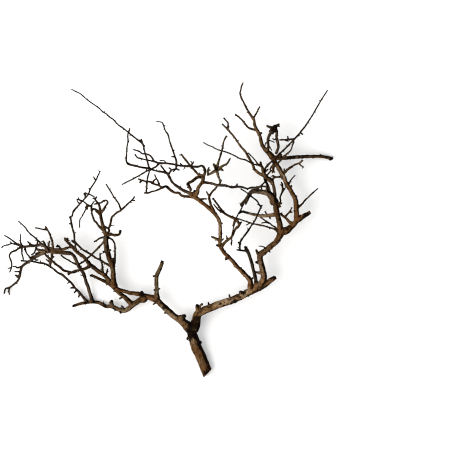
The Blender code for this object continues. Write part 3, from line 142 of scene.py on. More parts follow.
# Every stretch of wood is (name, grows from, radii, heights, plan). All are millimetres. The radii are those
# of the wood inside the bark, and run from root to tip, evenly spread. The heights are those of the centre
# line above the ground, evenly spread too. A stretch that grows from another starts on that one's centre
# line, so its own root has no height. The first stretch of each piece is its main one.
TREE = {
    "trunk": [
        ("stem", None, (12.4, 12.6, 13, 11), (11.8, 15, 21, 27.5),
         [(102, -369.5), (97, -357), (82.5, -320), (73, -300), (66, -280), (59, -260), (57, -250)]),
        ("stem snag", "stem", (3.6, 2.2), (26,), [(58, -267), (50, -274), (46.5, -277)]),
    ],
    "right_limb": [
        ("right limb", "stem", (10.8, 9.6, 9, 8.4, 8.2, 8.6, 8.2), (35, 39, 42, 44, 46),
         [(62, -255), (68, -240), (72, -220), (77, -211), (90, -204), (120, -192), (140, -185), (160, -178),
          (180, -169.5), (200, -159), (215, -152), (230, -145)]),
        ("right end stub", "right limb", (7.6, 6.4, 5), (44, 41),
         [(224, -148), (245, -137), (255, -130), (270, -121)]),
        ("bend stub", "right limb", (4.4, 3.4), (46,), [(77, -211), (74, -200), (73, -188)]),
        ("bend prong", "right limb", (3.2, 2.2), (47,), [(80, -209), (79, -195), (87, -187)]),
        ("limb thorn 1", "right limb", (2.6, 1.4), (45,), [(104, -198), (101, -183)]),
        ("limb thorn 2", "right limb", (2.6, 1.4), (51,), [(156, -179), (153, -163)]),
        ("limb lump", "right limb", (5, 3.6), (53,), [(183, -168), (187, -158)]),
    ],
    "left_limb": [
        ("left limb", "stem", (10.4, 8.8, 7.2, 7.6, 7, 7), (31, 34, 36, 38),
         [(55, -250), (45, -239.5), (29.5, -227), (16, -219), (4.7, -209), (-6.5, -199), (-19, -187),
          (-27, -176)]),
        ("left knob", "left limb", (4.6, 4.6), (46,), [(27, -225.5), (35, -221), (44, -217)]),
        ("left thorn 1", "left limb", (2.6, 1.6), (33,), [(3, -207), (-10, -211)]),
        ("left thorn 2", "left limb", (2.8, 1.4), (35,), [(-24, -180), (-38, -190)]),
    ],
    "snag": [
        ("snag", "left limb", (5.2, 4.6, 4.4, 4.8, 4.8, 4.2), (44, 50, 57, 62),
         [(-27, -177), (-28, -165), (-28, -150), (-29, -130), (-28, -118), (-24, -107), (-18, -95),
          (-13, -79.5)]),
        ("snag thorn 1", "snag", (2.4, 1.4), (53,), [(-28, -116), (-38, -119)]),
        ("snag thorn 2", "snag", (2.4, 1.3), (48,), [(-28, -150), (-36, -154)]),
        ("snag thorn 3", "snag", (2.4, 1.3), (50,), [(-28, -148), (-20, -151)]),
    ],
    "left_upper_limb": [
        ("upper limb", "left limb", (6.6, 6, 4.8, 4.2, 4.2, 4.6), (38, 38, 37, 36),
         [(-27, -176), (-50, -170), (-65, -165), (-73, -163), (-86, -161), (-95, -161), (-105, -157),
          (-124, -151), (-134, -146)]),
        ("upper knot", "upper limb", (4.6, 3.2), (43,), [(-64, -165), (-66, -156)]),
    ],
    "left_lower_limb": [
        ("lower limb", "upper limb", (6.4, 6, 5.6, 5.3, 4.4, 4, 3.5, 3.1, 2.8), (31, 24, 17, 11, 7, 4.7, 3.3),
         [(-55, -169), (-61, -176.5), (-70, -178), (-81, -185.5), (-92, -193.5), (-101, -201),
          (-109.5, -204.7), (-119, -203.5), (-137, -195.6), (-146, -193.6), (-156, -193.5), (-165, -189),
          (-175, -185), (-190, -183), (-210, -185.5), (-229, -190), (-240, -194)]),
        ("lower knob", "lower limb", (4, 3.4), (26,), [(-140, -195), (-141, -186), (-141, -179)]),
        ("lower stub", "lower limb", (3, 2.4), (22,), [(-116, -204), (-119, -212)]),
        ("lower thorn", "lower limb", (2.6, 1.4), (32,), [(-110, -204), (-113, -196), (-117, -192)]),
    ],
    "side_branch": [
        ("side branch", "lower limb", (5.2, 5, 4.6, 4, 3.2, 2.6), (27, 24, 23, 25, 27),
         [(-88, -190), (-95, -184), (-101.5, -177.5), (-108, -171), (-121, -161), (-133, -150), (-149, -136),
          (-168.5, -126.5), (-188, -118), (-196, -117)]),
        ("side thorn", "side branch", (2, 1.2), (22,), [(-112, -168), (-122, -176)]),
    ],
    "tall_limb": [
        ("tall limb", "upper limb", (5.4, 5.5, 5.6, 5.9, 6, 5.9, 4.8, 3.8, 3), (44, 53, 61, 68, 75, 81, 87),
         [(-133, -147), (-135, -131), (-136.6, -118.5), (-137.4, -106), (-139, -93), (-141.4, -83.5),
          (-146, -75.5), (-149, -64), (-152.5, -51.6), (-154, -39), (-155, -26), (-153.5, -18), (-158, -7),
          (-161, 4), (-166, 25), (-168, 41)]),
        ("left prong", "tall limb", (2.6, 2.2, 1.6), (89, 92),
         [(-168, 40), (-171.4, 60), (-180, 72.6), (-177, 81)]),
        ("hook twig", "tall limb", (2.5, 2, 1.5), (91, 96, 99),
         [(-168, 38), (-161, 47), (-156, 55), (-150, 65), (-153, 71), (-161, 69.5), (-167, 65),
          (-185, 61.5)]),
        ("tall thorn 1", "tall limb", (2.6, 1.8), (72,), [(-150, -56), (-142, -52)]),
        ("tall thorn 2", "tall limb", (2.2, 1.3), (66,), [(-151, -58), (-163, -57)]),
        ("tall thorn 3", "tall limb", (2.2, 1.3), (66,), [(-144, -78), (-134, -73)]),
        ("right fan twig", "tall limb", (3, 2.6, 2.3, 2.1, 1.9, 1.5, 1.1), (86, 94, 100, 104, 107),
         [(-154, -18), (-146.7, -5.5), (-147.5, 1), (-143.5, 10.5), (-139.5, 28), (-134, 34), (-126, 41),
          (-118, 45.5), (-107, 55), (-97, 64.7), (-88, 72.6), (-82, 80.6)]),
        ("right fan tip", "right fan twig", (1.3, 1), (108,), [(-89, 72), (-81, 70)]),
        ("left fan twig", "right fan twig", (1.6, 1.3, 0.9), (106, 110, 114),
         [(-117, 46), (-121, 60), (-127.6, 71), (-134, 79), (-140, 90), (-146.7, 101), (-154, 112.5)]),
        ("fan link", "tall limb", (2, 1.8), (89,), [(-161, 7), (-152, 3), (-147.5, 1)]),
        ("short right twig", "tall limb", (3.2, 2.8, 2.6), (80, 83),
         [(-154, -16), (-142, -13.4), (-135.6, -15), (-126, -15), (-120.4, -12), (-118, -3)]),
        ("left hub twig", "tall limb", (2, 1.2), (79,),
         [(-154, -19), (-169, -23), (-177, -28), (-185, -32.6)]),
        ("loop twig", "tall limb", (2.6, 2, 1.8), (58, 68, 74),
         [(-138, -99), (-133, -84), (-132, -72), (-132.4, -48.5), (-133, -36), (-139, -27), (-151, -20)]),
        ("diagonal twig", "tall limb", (2.4, 2.1, 1.9), (69, 67, 68),
         [(-155, -27), (-170, -43.6), (-181, -55), (-192, -66), (-205, -77), (-213, -83.5), (-221, -88)]),
        ("high twig", "tall limb", (2.8, 2.4, 2, 1.8), (84, 90, 94),
         [(-159, -5), (-170.6, 6), (-177, 15), (-183, 20), (-186, 28), (-189, 38), (-190.6, 50), (-189, 58)]),
        ("high link", "tall limb", (2.6, 2.2), (92,), [(-167, 34), (-175, 44), (-180, 48.7), (-190, 50)]),
        ("high left twig", "high twig", (1.8, 1.4, 1.1), (98, 100),
         [(-189.5, 56), (-200, 60), (-207, 66), (-214, 70), (-226, 74)]),
        ("hanging twig", "high left twig", (1.2, 0.9, 0.8), (96, 90, 84),
         [(-199, 59.5), (-204, 50), (-208, 42), (-214, 31), (-219, 23), (-220, 12), (-220, 2.5)]),
    ],
    "curved_twig": [
        ("curved twig", "tall limb",
         (2.6, 2.1, 2, 2, 2, 1.8, 1.7, 1.6, 1.3, 0.9), (56, 57, 59, 63, 68, 74, 80, 86, 92),
         [(-139, -93), (-147, -91), (-160, -84), (-170, -77), (-180, -72.5), (-191, -64.5), (-199, -60),
          (-212, -52), (-223, -42), (-232.8, -31), (-233.6, -20), (-234.4, -12), (-239, 4), (-242.4, 28),
          (-238.4, 33), (-236.8, 41), (-231, 50), (-222, 60), (-206, 77), (-198, 87), (-193, 100),
          (-179.4, 120.5), (-174, 133), (-168, 144.5)]),
        ("curved thorn 1", "curved twig", (1.2, 0.8), (90,), [(-180, 119), (-186, 131)]),
        ("curved stub", "curved twig", (1.8, 1.3), (60,), [(-228, -36), (-241, -28)]),
        ("curved side twig", "curved twig", (1.3, 0.9), (80,),
         [(-207, 76), (-205, 87), (-195, 86), (-182, 79)]),
    ],
    "left_middle_limb": [
        ("middle limb", "upper limb", (5.2, 5.1, 5, 4.8, 4.4, 4, 3.6, 3, 2.2), (40, 44, 48, 52, 56, 59),
         [(-133, -147), (-140, -139), (-150, -126), (-159, -115.4), (-168.5, -109), (-178, -103.4),
          (-187.6, -94.6), (-194, -90), (-200.4, -82), (-210, -70), (-219.5, -63.5), (-229, -56), (-235, -49),
          (-243, -40.7), (-252.6, -31), (-259, -21.5)]),
        ("middle fork tip", "middle limb", (1.8, 1.2), (60,), [(-251, -33), (-250, -22)]),
        ("middle twig 1", "middle limb", (2.4, 1.8, 1.4), (46, 47),
         [(-161, -113), (-164, -100), (-165, -88), (-168.5, -75.5), (-170, -60)]),
        ("middle twig 2", "middle limb", (2, 1.4), (50,), [(-156, -118), (-153, -109), (-151, -99.5)]),
        ("low twig", "middle limb", (3.4, 3, 2.7, 2.3), (50, 50, 50),
         [(-193, -90), (-205, -99), (-215, -100.5), (-225, -104), (-237, -107), (-251, -114)]),
        ("low long twig", "low twig", (2.7, 2.6, 2.5, 2.2), (52, 55, 59, 61),
         [(-228, -105), (-240, -109), (-251, -106), (-260.6, -103.6), (-270, -95), (-280, -88.5),
          (-289, -80.5), (-303, -66)]),
    ],
    "cross_limb": [
        ("cross limb", "lower limb", (4, 3.8, 3.6, 3.7, 4, 4, 3.8), (14, 22, 30, 36, 41, 45, 47),
         [(-189, -183), (-192.4, -171), (-197, -157), (-200.4, -144), (-205.5, -131.5), (-209, -118.5),
          (-213.5, -108), (-219, -99), (-224.5, -91), (-229, -81), (-234.5, -69), (-241, -62), (-249, -60)]),
        ("cross twig", "cross limb", (1.8, 1.5, 1.3), (42, 43),
         [(-225, -90), (-237, -85.5), (-248, -79), (-259, -72.5), (-268, -65)]),
    ],
    "far_left_limb": [
        ("far left limb", "cross limb", (3.8, 4, 4.4, 4.4, 3.6, 2.6), (48, 50, 52, 53),
         [(-245, -61), (-256, -60), (-265, -60), (-277, -57.5), (-289, -57), (-302, -56), (-311.6, -55),
          (-321, -54), (-328, -50)]),
        ("far left second", "far left limb", (3.8, 3.4, 3.2), (51, 51),
         [(-291, -57), (-284.5, -53), (-273, -52), (-261, -51), (-250, -46.5)]),
        ("mass stub 1", "far left limb", (2.4, 1.8), (55,), [(-270, -59), (-268, -50), (-277, -40)]),
        ("dark up twig", "far left limb", (2.6, 2.4, 2, 1.6), (57, 62, 66),
         [(-286, -57), (-288.5, -34), (-292.4, -21.5), (-297, -9), (-302, 1), (-306, 7)]),
        ("dark side twig", "dark up twig", (1.6, 1.1), (68,),
         [(-301, -2), (-310, -1.6), (-321, 1), (-332, 3)]),
        ("mass stub 2", "far left limb", (2.4, 1.7), (57,), [(-297, -56), (-298, -40), (-295.6, -29.5)]),
        ("down twig", "far left limb", (2.4, 2.2, 2), (47, 44),
         [(-290, -57), (-291, -75), (-294, -89), (-294, -98)]),
        ("down thorn", "down twig", (1.3, 1), (50,), [(-290, -74), (-284, -68)]),
    ],
    "far_left_spray": [
        ("spray limb", "far left limb", (3.6, 3.4, 3.1, 2.9, 2.8, 2.8), (56, 59, 61, 62),
         [(-300, -56), (-306, -45), (-315, -39), (-324, -41), (-334, -42), (-345, -43), (-356, -44.5),
          (-366, -44)]),
        ("spray twig a", "spray limb", (1.5, 1.2, 1), (66, 68),
         [(-363, -44), (-367, -37), (-368, -28), (-368, -12)]),
        ("spray twig b", "spray limb", (1.8, 1.3, 1), (66, 69),
         [(-365, -44), (-375, -38), (-383, -33), (-393, -25.5), (-401, -20), (-409, -16)]),
        ("spray twig c", "spray limb", (1.7, 1.2, 0.9), (60, 57),
         [(-365, -44), (-375, -40.5), (-390, -37), (-399, -40), (-409, -42), (-417, -47)]),
        ("spray thorn", "spray twig c", (1, 0.8), (60,), [(-389, -37), (-395, -31)]),
        ("spray twig d", "spray limb", (2, 1.7, 1.5, 1.2), (60, 56, 52),
         [(-365, -44), (-374, -49.5), (-382, -55), (-390.5, -58), (-396, -66), (-394, -74), (-390.5, -84),
          (-390.5, -93), (-392, -100), (-396, -109)]),
        ("spray twig e", "spray limb", (1.6, 1.2), (58,),
         [(-365, -45), (-365, -60), (-362.6, -69), (-361, -77)]),
        ("spray twig f", "spray limb", (1.6, 1.2), (56,),
         [(-358, -45), (-354, -59), (-347, -68), (-342, -74)]),
        ("spray stub", "spray limb", (1.8, 1.2), (64,), [(-334, -42), (-343, -38), (-351, -31)]),
        ("spray hook", "spray limb", (1.6, 1.2), (58,),
         [(-328, -41.5), (-331, -53), (-335, -61), (-342, -65)]),
        ("long thin twig", "spray limb", (1.9, 1.5, 1.2, 0.9), (64, 68, 70),
         [(-313, -40), (-319, -34.5), (-324, -29.5), (-332, -21.5), (-342, -13.5), (-350, -5.6), (-357, 5),
          (-374, 20)]),
        ("spray short stub", "spray limb", (1.6, 1.2), (62,), [(-312, -40), (-309, -35), (-311, -29)]),
    ],
    "foot_branch": [
        ("foot branch", "far left limb",
         (4, 3.8, 3.2, 3, 2.8, 2.5, 2.2, 1.9, 1.6), (48, 42, 34, 25, 17, 9, 6),
         [(-305, -56), (-318, -63), (-329, -69), (-337, -74), (-345, -80.5), (-353, -85), (-361, -90),
          (-367, -96.5), (-370, -109), (-373, -122), (-378, -132), (-388, -140), (-399, -148), (-408, -150),
          (-411, -163)]),
        ("foot tip", "foot branch", (1.6, 1.2), (5,), [(-397, -146), (-399, -156), (-397.7, -166)]),
        ("foot stub", "foot branch", (2, 1.4), (22,), [(-372, -119), (-384, -115.5)]),
        ("foot twig", "foot branch", (1.8, 1.4, 1.1), (34, 34),
         [(-365, -94), (-377, -97), (-382, -94), (-389, -94.5)]),
        ("foot thorn", "foot branch", (1.5, 1.1), (46,), [(-334, -72), (-330, -78), (-324, -77)]),
    ],
    "sweep_limb": [
        ("sweep limb", "lower limb",
         (3.2, 2.7, 2.5, 2.4, 2.3, 2.2, 2, 1.8, 1.6, 1.3), (10, 14, 18, 22, 26, 29, 31, 32),
         [(-204, -184), (-213, -171), (-222, -160), (-232, -149), (-241.5, -136), (-251, -128),
          (-259, -120.5), (-265, -115), (-276.5, -109), (-286, -101), (-294, -95), (-302, -90), (-312, -86),
          (-321, -85), (-331, -83), (-340, -81), (-353, -80.5), (-369, -79.5)]),
        ("sweep thorn 1", "sweep limb", (1.7, 1.1), (20,), [(-234, -146), (-245, -148)]),
        ("sweep thorn 2", "sweep limb", (1.7, 1.1), (16,), [(-229, -152), (-236, -161)]),
        ("sweep thorn 3", "sweep limb", (1.7, 1.1), (14,), [(-220, -162), (-225, -172)]),
    ],
    "inner_limb": [
        ("inner limb", "right limb",
         (7, 5.6, 5.2, 4.8, 4.6, 4.3, 4.1, 4.3, 4.1, 4, 4.2, 4.5, 4.4, 4.6, 5.4),
         (50, 57, 63, 69, 74, 79, 84, 89, 94, 98, 100),
         [(208, -155), (206.8, -139), (204.6, -127), (195.6, -117), (184.5, -105.5), (173, -94.5), (163, -82),
          (151, -69.5), (142, -61), (135, -50), (130, -41), (130, -29), (130.8, -15), (130.8, -3), (130, 9.5),
          (126.5, 23.5), (117.7, 37.5), (107, 48), (96.6, 57), (86, 65.6), (77, 72.6), (70, 78), (62, 85.7)]),
        ("inner stub 1", "inner limb", (2.8, 2), (82,), [(130, -28), (119, -24), (108, -19)]),
        ("inner stub 2", "inner limb", (2.8, 2), (78,), [(131, -43), (120, -40)]),
        ("inner thorn 1", "inner limb", (2, 1.2), (82,), [(130, -31), (140, -24)]),
        ("inner thorn 2", "inner limb", (2, 1.2), (92,), [(129, 14), (137, 13)]),
        ("inner lump", "inner limb", (3.6, 3), (75,), [(151, -70), (144, -76)]),
        ("inner side twig", "inner limb", (2.1, 1.6, 1.3), (99, 100), [(77, 72.6), (90, 75), (98, 74.5)]),
        ("inner dark stub", "inner limb", (2.6, 1.8), (104,), [(63, 85), (67, 97)]),
    ],
    "elbow_branch": [
        ("elbow branch", "inner limb",
         (3.4, 3, 2.7, 2.6, 2.8, 3, 2.9, 2.6, 2.4, 2.1, 1.7), (76, 80, 84, 87, 89, 91, 92),
         [(132, -46), (140.5, -36), (151, -27.4), (160, -18.6), (165, -8), (170, 1), (176, 6), (178, 13),
          (170, 23.5), (160, 29), (149, 34), (139, 41), (132, 50), (124.7, 60), (117.7, 69), (112, 77.5)]),
        ("elbow thorn 1", "elbow branch", (1.7, 1.1), (82,), [(149, -29), (146.6, -16)]),
        ("elbow thorn 2", "elbow branch", (2, 1.4), (88,), [(177, 9), (184, 18)]),
        ("elbow second twig", "elbow branch", (1.6, 1.4), (96, 98),
         [(144, 37), (128, 46), (120, 55), (114, 62)]),
        ("elbow cross twig", "elbow branch", (1.6, 1.2), (84,), [(168, 25), (163.5, 12), (163, 6)]),
        ("elbow thin twig", "elbow branch", (1.2, 0.8), (72,), [(159, -20), (159.5, -31), (159, -42)]),
    ],
    "riser": [
        ("riser", "inner limb", (3.4, 3.1, 2.8, 2.3, 2.2, 2.2, 2.6, 4.4), (95, 98, 101, 104, 106, 108),
         [(114, 41), (112, 50), (107, 62), (104.5, 72), (103.7, 81), (110.7, 92), (117.7, 99), (123, 106),
          (129, 112), (131, 119), (127, 129), (124.7, 137.5), (122, 148)]),
        ("riser thorn", "riser", (1.8, 1.2), (101,), [(103.7, 82), (96, 94)]),
        ("riser link", "riser", (3.2, 2.8, 2.6), (106, 103),
         [(122, 147), (115.5, 143), (106, 137), (98, 133.5)]),
        ("riser twig", "riser", (3.2, 2.8, 2.2, 1.5), (110, 112),
         [(122, 147), (131.5, 153), (139.4, 158), (147, 162), (152, 169), (156, 177)]),
        ("riser stub 1", "riser", (2.8, 2.3), (113,), [(121, 147), (118, 154), (114, 163)]),
        ("riser stub 2", "riser", (2.6, 2.2), (106,), [(123, 146), (131, 149), (139, 145)]),
        ("riser stub 3", "riser link", (1.9, 1.4), (108,), [(100, 135), (100, 144), (103, 154)]),
        ("straight twig", "riser", (2.6, 2.1, 1.8, 1.5), (113, 118, 122),
         [(122, 148), (124, 158), (128, 172), (133, 188), (137, 204), (139.4, 216.5), (146.6, 232.5)]),
    ],
    "top_left_branch": [
        ("top left branch", "inner limb",
         (4, 3.5, 3, 2.7, 2.5, 2.1, 2, 2, 2.2, 2.5, 1.8, 1.5, 1.3, 1.2, 1),
         (104, 107, 109, 110, 112, 115, 119, 123),
         [(62, 85.7), (55, 89), (40.6, 95), (29.4, 102), (18, 110), (10, 118), (5.5, 127), (1, 135),
          (-4, 139), (-13, 142), (-26, 144), (-35.6, 147), (-45, 150.6), (-58, 152), (-69, 154), (-80, 157),
          (-91, 159.4), (-99, 162.5), (-103, 169), (-103, 179), (-101.7, 192), (-101, 206), (-98.5, 218),
          (-99, 229), (-98.5, 238), (-96, 245), (-93.5, 252)]),
        ("top left spur 1", "top left branch", (1.9, 1.3), (107,), [(-3, 138.5), (-11.6, 150.6), (-18, 159)]),
        ("top left spur 2", "top left branch", (1.6, 1.1), (112,), [(1, 135), (8, 147), (2, 153)]),
    ],
    "middle_left_branch": [
        ("middle left branch", "inner limb",
         (3.6, 3, 2.7, 2.6, 3, 2.4, 2.1, 1.9, 1.6, 1.3), (97, 94, 91, 89, 87, 86),
         [(68, 80), (57, 80), (47, 81), (34, 83.4), (28, 89), (16.7, 90.6), (8.7, 95.4), (1, 102), (-4, 106),
          (-15, 104), (-23, 109), (-34, 112), (-43.5, 117), (-54.7, 118.7), (-64, 121), (-75, 125)]),
        ("middle left stub", "middle left branch", (1.5, 1.1), (86,), [(-64, 121), (-71, 114)]),
        ("middle left twig", "middle left branch", (1.5, 1.2, 0.9), (94, 98),
         [(-21, 108), (-24.4, 119), (-29, 127), (-33, 136)]),
        ("light twig", "middle left branch", (2.2, 1.8, 1.5, 1.3), (87, 84, 83),
         [(-10, 105), (-24, 98), (-32, 95), (-41, 93), (-48, 90), (-60, 90)]),
    ],
    "long_wand": [
        ("long wand", "light twig",
         (1.6, 1.6, 1.5, 1.6, 1.6, 1.6, 1.6, 1.6, 1.5, 1.4, 1.3, 1.2, 1.1, 1, 0.9, 0.8),
         (94, 99, 102, 106, 110, 113, 115, 117, 118, 119, 120, 120),
         [(-53, 90), (-53, 103), (-52, 114), (-50.7, 127), (-46.7, 141), (-46, 150.6), (-49, 162), (-52, 173),
          (-54.7, 182.5), (-58, 195), (-60, 206), (-64, 213), (-70, 218), (-79, 225), (-92, 235), (-101, 243),
          (-111, 251), (-125, 261), (-134, 271), (-144, 278), (-152, 286), (-162, 292), (-171, 301),
          (-181, 308), (-192.5, 316), (-204, 325), (-212.6, 332.5), (-220, 338), (-230, 342.6),
          (-240, 347.6)]),
        ("wand spur", "long wand", (1.5, 1.1), (118,), [(-61, 208), (-66, 224)]),
    ],
    "top_hub": [
        ("hub limb", "inner limb", (4.2, 4, 3.8, 3.7, 3.8, 4, 4.9), (102, 104, 104, 104),
         [(65, 83), (71, 86), (74, 92), (75.7, 102), (82, 111), (88, 121), (88, 131)]),
        ("hub loop", "hub limb", (3.4, 3.2, 3, 3.1, 3.2, 3.2), (105, 107, 108, 109),
         [(87, 130), (77, 129.6), (69, 125.6), (60, 118), (51, 113), (54, 105), (58, 94)]),
        ("up left twig", "hub limb", (3.2, 2.6, 2.2, 1.9, 1.6), (103, 102, 104, 108, 112),
         [(87, 131), (77, 135), (69, 143), (62, 151), (55, 159), (47, 169), (40.6, 177), (33, 186.5)]),
    ],
    "shelf_twig": [
        ("shelf twig", "hub limb",
         (3, 2.7, 2.5, 2.4, 2.3, 2.2, 2.1, 2, 2, 1.9, 1.7, 1.5, 1.3),
         (110, 112, 113, 115, 116, 118, 119, 121),
         [(88, 130), (92, 138), (93, 146), (90, 153), (85, 157.5), (75.7, 155), (66, 155), (53, 156),
          (40.6, 156.7), (28, 158), (15, 160.7), (1, 163), (-10, 164), (-23, 164), (-34, 168), (-43.5, 170),
          (-55, 172), (-67, 175), (-76, 178), (-82, 187)]),
        ("shelf fork", "shelf twig", (1.8, 1.6, 1.4, 1.2), (121, 124, 126),
         [(-34, 168), (-40, 179), (-47, 185), (-55, 187), (-63, 187), (-71, 193), (-86, 197.6)]),
        ("shelf down twig", "shelf twig", (1.8, 1.5, 1.2, 1.1, 0.9), (117, 116, 114, 112),
         [(-20, 164), (-29, 155), (-39, 150), (-55, 142.6), (-67, 135), (-80, 128), (-91, 122), (-99, 118),
          (-114.5, 110)]),
        ("shelf up twig", "shelf twig", (1.8, 1.6, 1.5, 1.3, 1.1, 0.8), (118, 122, 126, 128, 130),
         [(22, 159), (21.5, 170), (16.7, 184.6), (12, 199), (5.5, 216.5), (1, 234), (-6, 245), (-10.4, 258),
          (-15, 265.5), (-29, 267)]),
        ("shelf thorn 1", "shelf up twig", (1.2, 0.9), (122,), [(18, 180), (9, 180)]),
        ("shelf thorn 2", "shelf twig", (1.7, 1.2), (113,), [(21, 159), (20, 150), (13, 142)]),
    ],
    "long_right_twig": [
        ("long right twig", "hub limb",
         (3, 2.8, 2.7, 2.6, 2.5, 2.5, 2.3, 2.1, 1.9, 1.6), (108, 112, 114, 114, 113, 112),
         [(84, 114), (90, 116), (101, 114.5), (111, 113), (121, 109.6), (134, 108), (145, 108), (159, 103.5),
          (172, 105), (181.5, 105), (191, 102.5), (199, 100), (207, 102.5), (220, 103), (231, 106.5),
          (238, 112)]),
        ("long right thorn", "long right twig", (1.5, 1.1), (117,), [(171, 105), (174, 113)]),
    ],
    "dead_rod": [
        ("dead rod", "right limb", (4.4, 4, 3.8, 3.7, 3.6, 3.6), (54, 63, 71, 79, 85),
         [(221, -149), (220, -128), (216.5, -114), (213, -100), (210.6, -87), (205.4, -71), (200, -57),
          (193, -44)]),
        ("rod side twig", "dead rod", (2.4, 1.8, 1.4), (85, 88), [(198, -54), (184, -53.7), (171, -52)]),
        ("zigzag twig", "rod side twig",
         (2.1, 2, 1.9, 1.8, 1.8, 1.7, 1.6, 1.4, 1.3, 1.1), (89, 91, 92, 94, 96, 98, 98, 97),
         [(180, -53), (180, -36), (182.6, -29), (191, -17), (200, -4.6), (209, 9.5), (217.7, 22), (223, 34),
          (231.7, 54), (228, 60), (223, 69), (212, 78), (202, 86.6), (191, 94.5), (181, 100.6)]),
        ("zigzag thorn 1", "zigzag twig", (1.3, 1), (96,), [(231, 54), (236, 60)]),
        ("zigzag thorn 2", "zigzag twig", (1.4, 1), (92,), [(180, -38), (175, -32)]),
    ],
    "outer_limb": [
        ("outer limb", "right limb",
         (7.6, 7, 6.6, 6.6, 6.6, 6.8, 7, 6.6, 6.3, 6.4, 7, 8.4), (50, 53, 55, 57, 59, 60),
         [(228, -146), (236, -132), (240, -121), (239, -110), (236, -98), (232.5, -85), (230, -73),
          (231.5, -64), (241, -57), (250.7, -49), (260, -41), (270, -33), (276, -23), (284, -10), (287, -5)]),
        ("outer stub 1", "outer limb", (3.6, 2), (66,), [(231, -66), (225, -61), (220, -51)]),
        ("outer stub 2", "outer limb", (3.4, 2.6), (57,), [(233, -86), (228, -84), (218, -83)]),
        ("outer stub 3", "outer limb", (3.2, 2.2), (51,), [(238.5, -109), (231, -110), (217, -107)]),
        ("outer thin twig 1", "outer limb", (2, 1.7, 1.5, 1.3, 1.1, 1), (61, 61, 60),
         [(279, -17), (270, -4), (262, 1), (251, 4), (240, 7.7), (228, 10), (214, 13), (202, 16.5), (191, 20),
          (181, 23.5), (170, 27), (160, 30)]),
        ("outer thin twig 2", "outer limb", (1.8, 1.4, 1.1), (60, 58),
         [(281, -14), (273, 0), (262, 8), (253, 15), (244, 20), (237, 25), (229, 30)]),
    ],
    "crown_left_limb": [
        ("crown left limb", "outer limb",
         (6.8, 6.2, 6, 6, 6.4, 6.6, 5.4, 4.2, 3.7, 3.6, 4.2, 5.6, 4.8, 3.8, 2.8, 2.2),
         (65, 69, 73, 77, 81, 84, 87, 90, 93, 95, 97),
         [(283, -11), (280, 2), (279.4, 13), (276, 26), (273.5, 38), (271, 47), (269.5, 56), (266, 68),
          (267, 78), (267, 89), (265.5, 100), (262.7, 111), (258, 119.5), (251, 125), (245, 129),
          (240.5, 137), (237.3, 146), (235.7, 153), (232.6, 159), (231, 168.6)]),
        ("crown hanging twig", "crown left limb", (2.2, 1.7, 1.5, 1.4, 1.2), (78, 72, 68, 64),
         [(269, 57), (275, 60), (281, 68), (280.5, 78), (284, 88), (286, 97), (287, 109), (283, 118)]),
        ("crown hanging tip", "crown hanging twig", (1.3, 1), (68,), [(284.5, 90), (290, 97), (294, 104)]),
        ("crown cross twig", "crown left limb", (1.9, 1.6, 1.4, 1.2, 1, 0.9, 0.8), (101, 104, 106, 108, 109),
         [(234, 157), (223, 160), (215, 161), (207, 165), (194, 172), (180, 175), (169, 181), (154, 188),
          (142, 192.5), (126, 197), (110, 205), (100, 209), (88, 216)]),
        ("crown thin twig", "crown cross twig", (1.1, 0.9), (104, 106),
         [(226, 159.5), (217, 172), (209, 181), (200, 190)]),
    ],
    "arc_branch": [
        ("arc branch", "crown left limb",
         (8.2, 8, 7, 6, 5.4, 5.2, 4.8, 4.2, 3.3, 2.2), (85, 87, 88, 87, 85, 83, 80),
         [(267, 64), (263, 74), (258, 82), (248.5, 89), (237, 92), (226, 94), (215, 93.7), (207, 90.5),
          (200.7, 81), (192.7, 71), (181, 58.6)]),
        ("arc prong", "arc branch", (1.8, 1.2), (80,), [(195, 74), (190, 64), (186, 56)]),
        ("arc thin twig", "arc prong", (1.2, 0.9), (77, 74), [(189, 62), (183, 49), (177, 39.5), (171, 28)]),
        ("arc second twig", "arc branch", (2.4, 1.9, 1.6), (92, 94),
         [(243.5, 91.4), (247, 99), (247, 110), (243, 118)]),
        ("arc cross twig", "arc branch", (1.8, 1.5, 1.2), (93, 96),
         [(217, 94), (225, 101), (235, 110), (243, 118)]),
    ],
    "light_branch": [
        ("light branch", "crown left limb", (4.4, 4, 3.8, 3.5, 3.2, 3, 2.8, 2.6, 2.3), (70, 68, 66, 65, 64),
         [(274, 38), (264, 35), (253, 34), (242, 33), (231, 33), (220, 35), (210, 37), (200.7, 39.5),
          (191, 42), (183, 42.5), (176, 38)]),
        ("light thorn 1", "light branch", (2, 1.2), (68,), [(253, 34), (256, 24)]),
        ("light thorn 2", "light branch", (2, 1.2), (72,), [(248, 34), (243, 45)]),
    ],
    "upper_left_twig": [
        ("upper left twig", "crown left limb",
         (3.6, 3, 2.9, 2.9, 2.6, 2.4, 2.2, 2.1, 2, 1.7, 1.3), (91, 92, 93, 95, 98, 101, 103),
         [(244, 131), (229, 138), (220, 144.7), (215, 150), (212, 161), (207, 170), (200.7, 180), (196, 189),
          (191, 196), (183, 204), (177, 212), (168, 226), (157, 239), (149, 248), (142.6, 255), (135, 262)]),
        ("upper left fork", "upper left twig", (2, 1.6), (106,),
         [(149, 248), (150.6, 263), (147.4, 268), (139, 277)]),
    ],
    "crown_right_limb": [
        ("crown right limb", "outer limb",
         (7.6, 6.8, 6.3, 6, 5.8, 5.7, 5.5, 5.1, 5, 5, 5.1, 5.3, 5.2, 5.4, 6.4),
         (57, 54, 51, 49, 47, 45, 44, 42),
         [(286, -7), (298.5, -2.5), (308, 5.4), (316, 13.3), (320.8, 21.3), (321.5, 33), (321, 44),
          (320.5, 55), (320, 68), (316, 80), (309, 92), (303, 103), (296.3, 113), (291.5, 125.6), (285, 138),
          (279, 149.5), (272.4, 159), (266, 168.6), (262, 177.5)]),
        ("crotch stub", "crown right limb", (5.4, 5.2, 4.8, 4), (54, 56),
